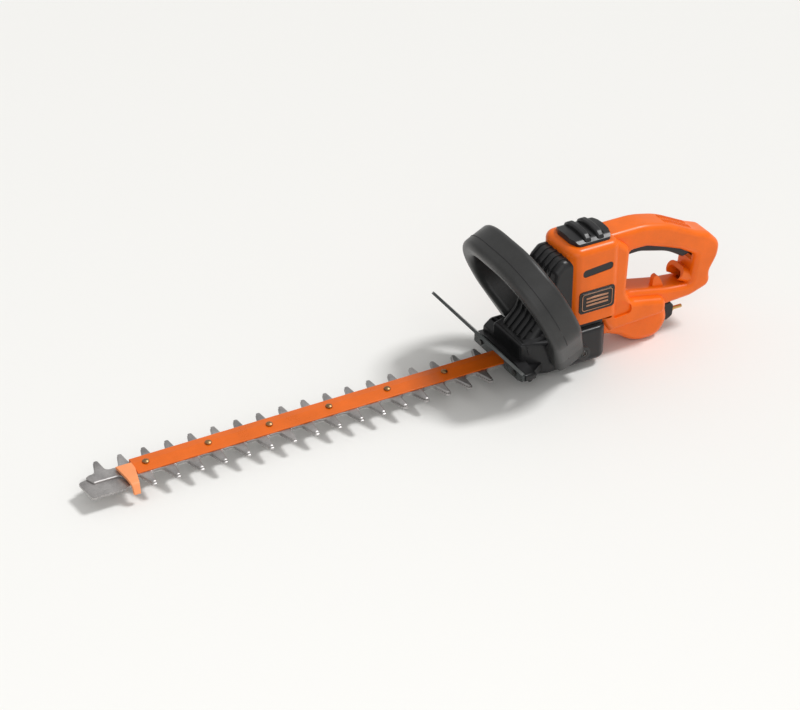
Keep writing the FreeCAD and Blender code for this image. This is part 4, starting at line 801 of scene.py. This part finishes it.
class TRIMMER_OT_stage(bpy.types.Operator):
    """Pale floor, soft studio light and camera"""

    bl_idname = "trimmer.stage"
    bl_label = "Stage"

    def execute(self, context):
        scene = context.scene
        bpy.ops.mesh.primitive_plane_add(size=FLOOR_SIZE, location=(0, 0, 0))
        floor = context.object
        floor.name = "floor"
        floor.data.materials.append(self.paper())
        world = bpy.data.worlds.new("studio")
        world.use_nodes = True
        sky = world.node_tree.nodes["Background"]
        sky.inputs["Color"].default_value = SKY_COLOUR
        sky.inputs["Strength"].default_value = SKY_POWER
        scene.world = world
        sun = bpy.data.lights.new("key_sun", "SUN")
        sun.energy = SUN_POWER
        sun.angle = math.radians(SUN_ANGLE)
        lamp = bpy.data.objects.new("key_sun", sun)
        scene.collection.objects.link(lamp)
        lamp.rotation_euler = Vector(SUN_WAY).to_track_quat("Z", "Y").to_euler()
        soft_light("fill_light", FILL_PLACE, FILL_AIM, FILL_SIZE, FILL_POWER)
        scene.view_settings.view_transform = "Standard"
        data = bpy.data.cameras.new("studio_camera")
        data.sensor_width = CAMERA_SENSOR
        data.lens = CAMERA_LENS
        data.clip_end = 50.0
        camera = bpy.data.objects.new("studio_camera", data)
        scene.collection.objects.link(camera)
        camera.matrix_world = look_matrix(Vector(CAMERA_PLACE), CAMERA_RIGHT, CAMERA_UP)
        scene.camera = camera
        return {"FINISHED"}

    def paper(self):
        """Matt off-white of the floor."""
        material = bpy.data.materials.new("floor_paper")
        material.use_nodes = True
        n = Nodes(material.node_tree)
        shader = material.node_tree.nodes["Principled BSDF"]
        place = n.add("ShaderNodeTexCoord").outputs["Object"]
        grain = n.add("ShaderNodeTexNoise", Vector=place, Scale=900.0, Detail=3.0).outputs[0]
        bump = n.add("ShaderNodeBump", Height=grain, Distance=0.04 * MM).outputs[0]
        n.feed(shader.inputs["Normal"], bump)
        shader.inputs["Base Color"].default_value = FLOOR_COLOUR
        shader.inputs["Roughness"].default_value = 0.85
        return material


class TRIMMER_PT_panel(bpy.types.Panel):
    """Sidebar list of the trimmer's settings and pieces"""

    bl_idname = "TRIMMER_PT_panel"
    bl_label = "Hedge Trimmer"
    bl_space_type = "VIEW_3D"
    bl_region_type = "UI"
    bl_category = "Hedge Trimmer"

    def draw(self, context):
        for name in TrimmerLooks.__annotations__:
            self.layout.prop(context.scene.trimmer_looks, name)
        for operator in PIECES:
            self.layout.operator(operator.bl_idname)


PIECES = (TRIMMER_OT_blades, TRIMMER_OT_bar, TRIMMER_OT_gear_case, TRIMMER_OT_housing,
          TRIMMER_OT_badges, TRIMMER_OT_front_handle, TRIMMER_OT_rear_controls,
          TRIMMER_OT_inner_works, TRIMMER_OT_stage)
CLASSES = (TrimmerLooks, *PIECES, TRIMMER_PT_panel)


def register():
    """Make the classes and the settings known."""
    for item in CLASSES:
        bpy.utils.register_class(item)
    bpy.types.Scene.trimmer_looks = bpy.props.PointerProperty(type=TrimmerLooks)


def unregister():
    """Take them away again."""
    del bpy.types.Scene.trimmer_looks
    for item in reversed(CLASSES):
        bpy.utils.unregister_class(item)


def main():
    """Dress the whole trimmer."""
    register()
    for operator in PIECES:
        group, name = operator.bl_idname.split(".")
        getattr(getattr(bpy.ops, group), name)()


if __name__ == "__main__":
    main()
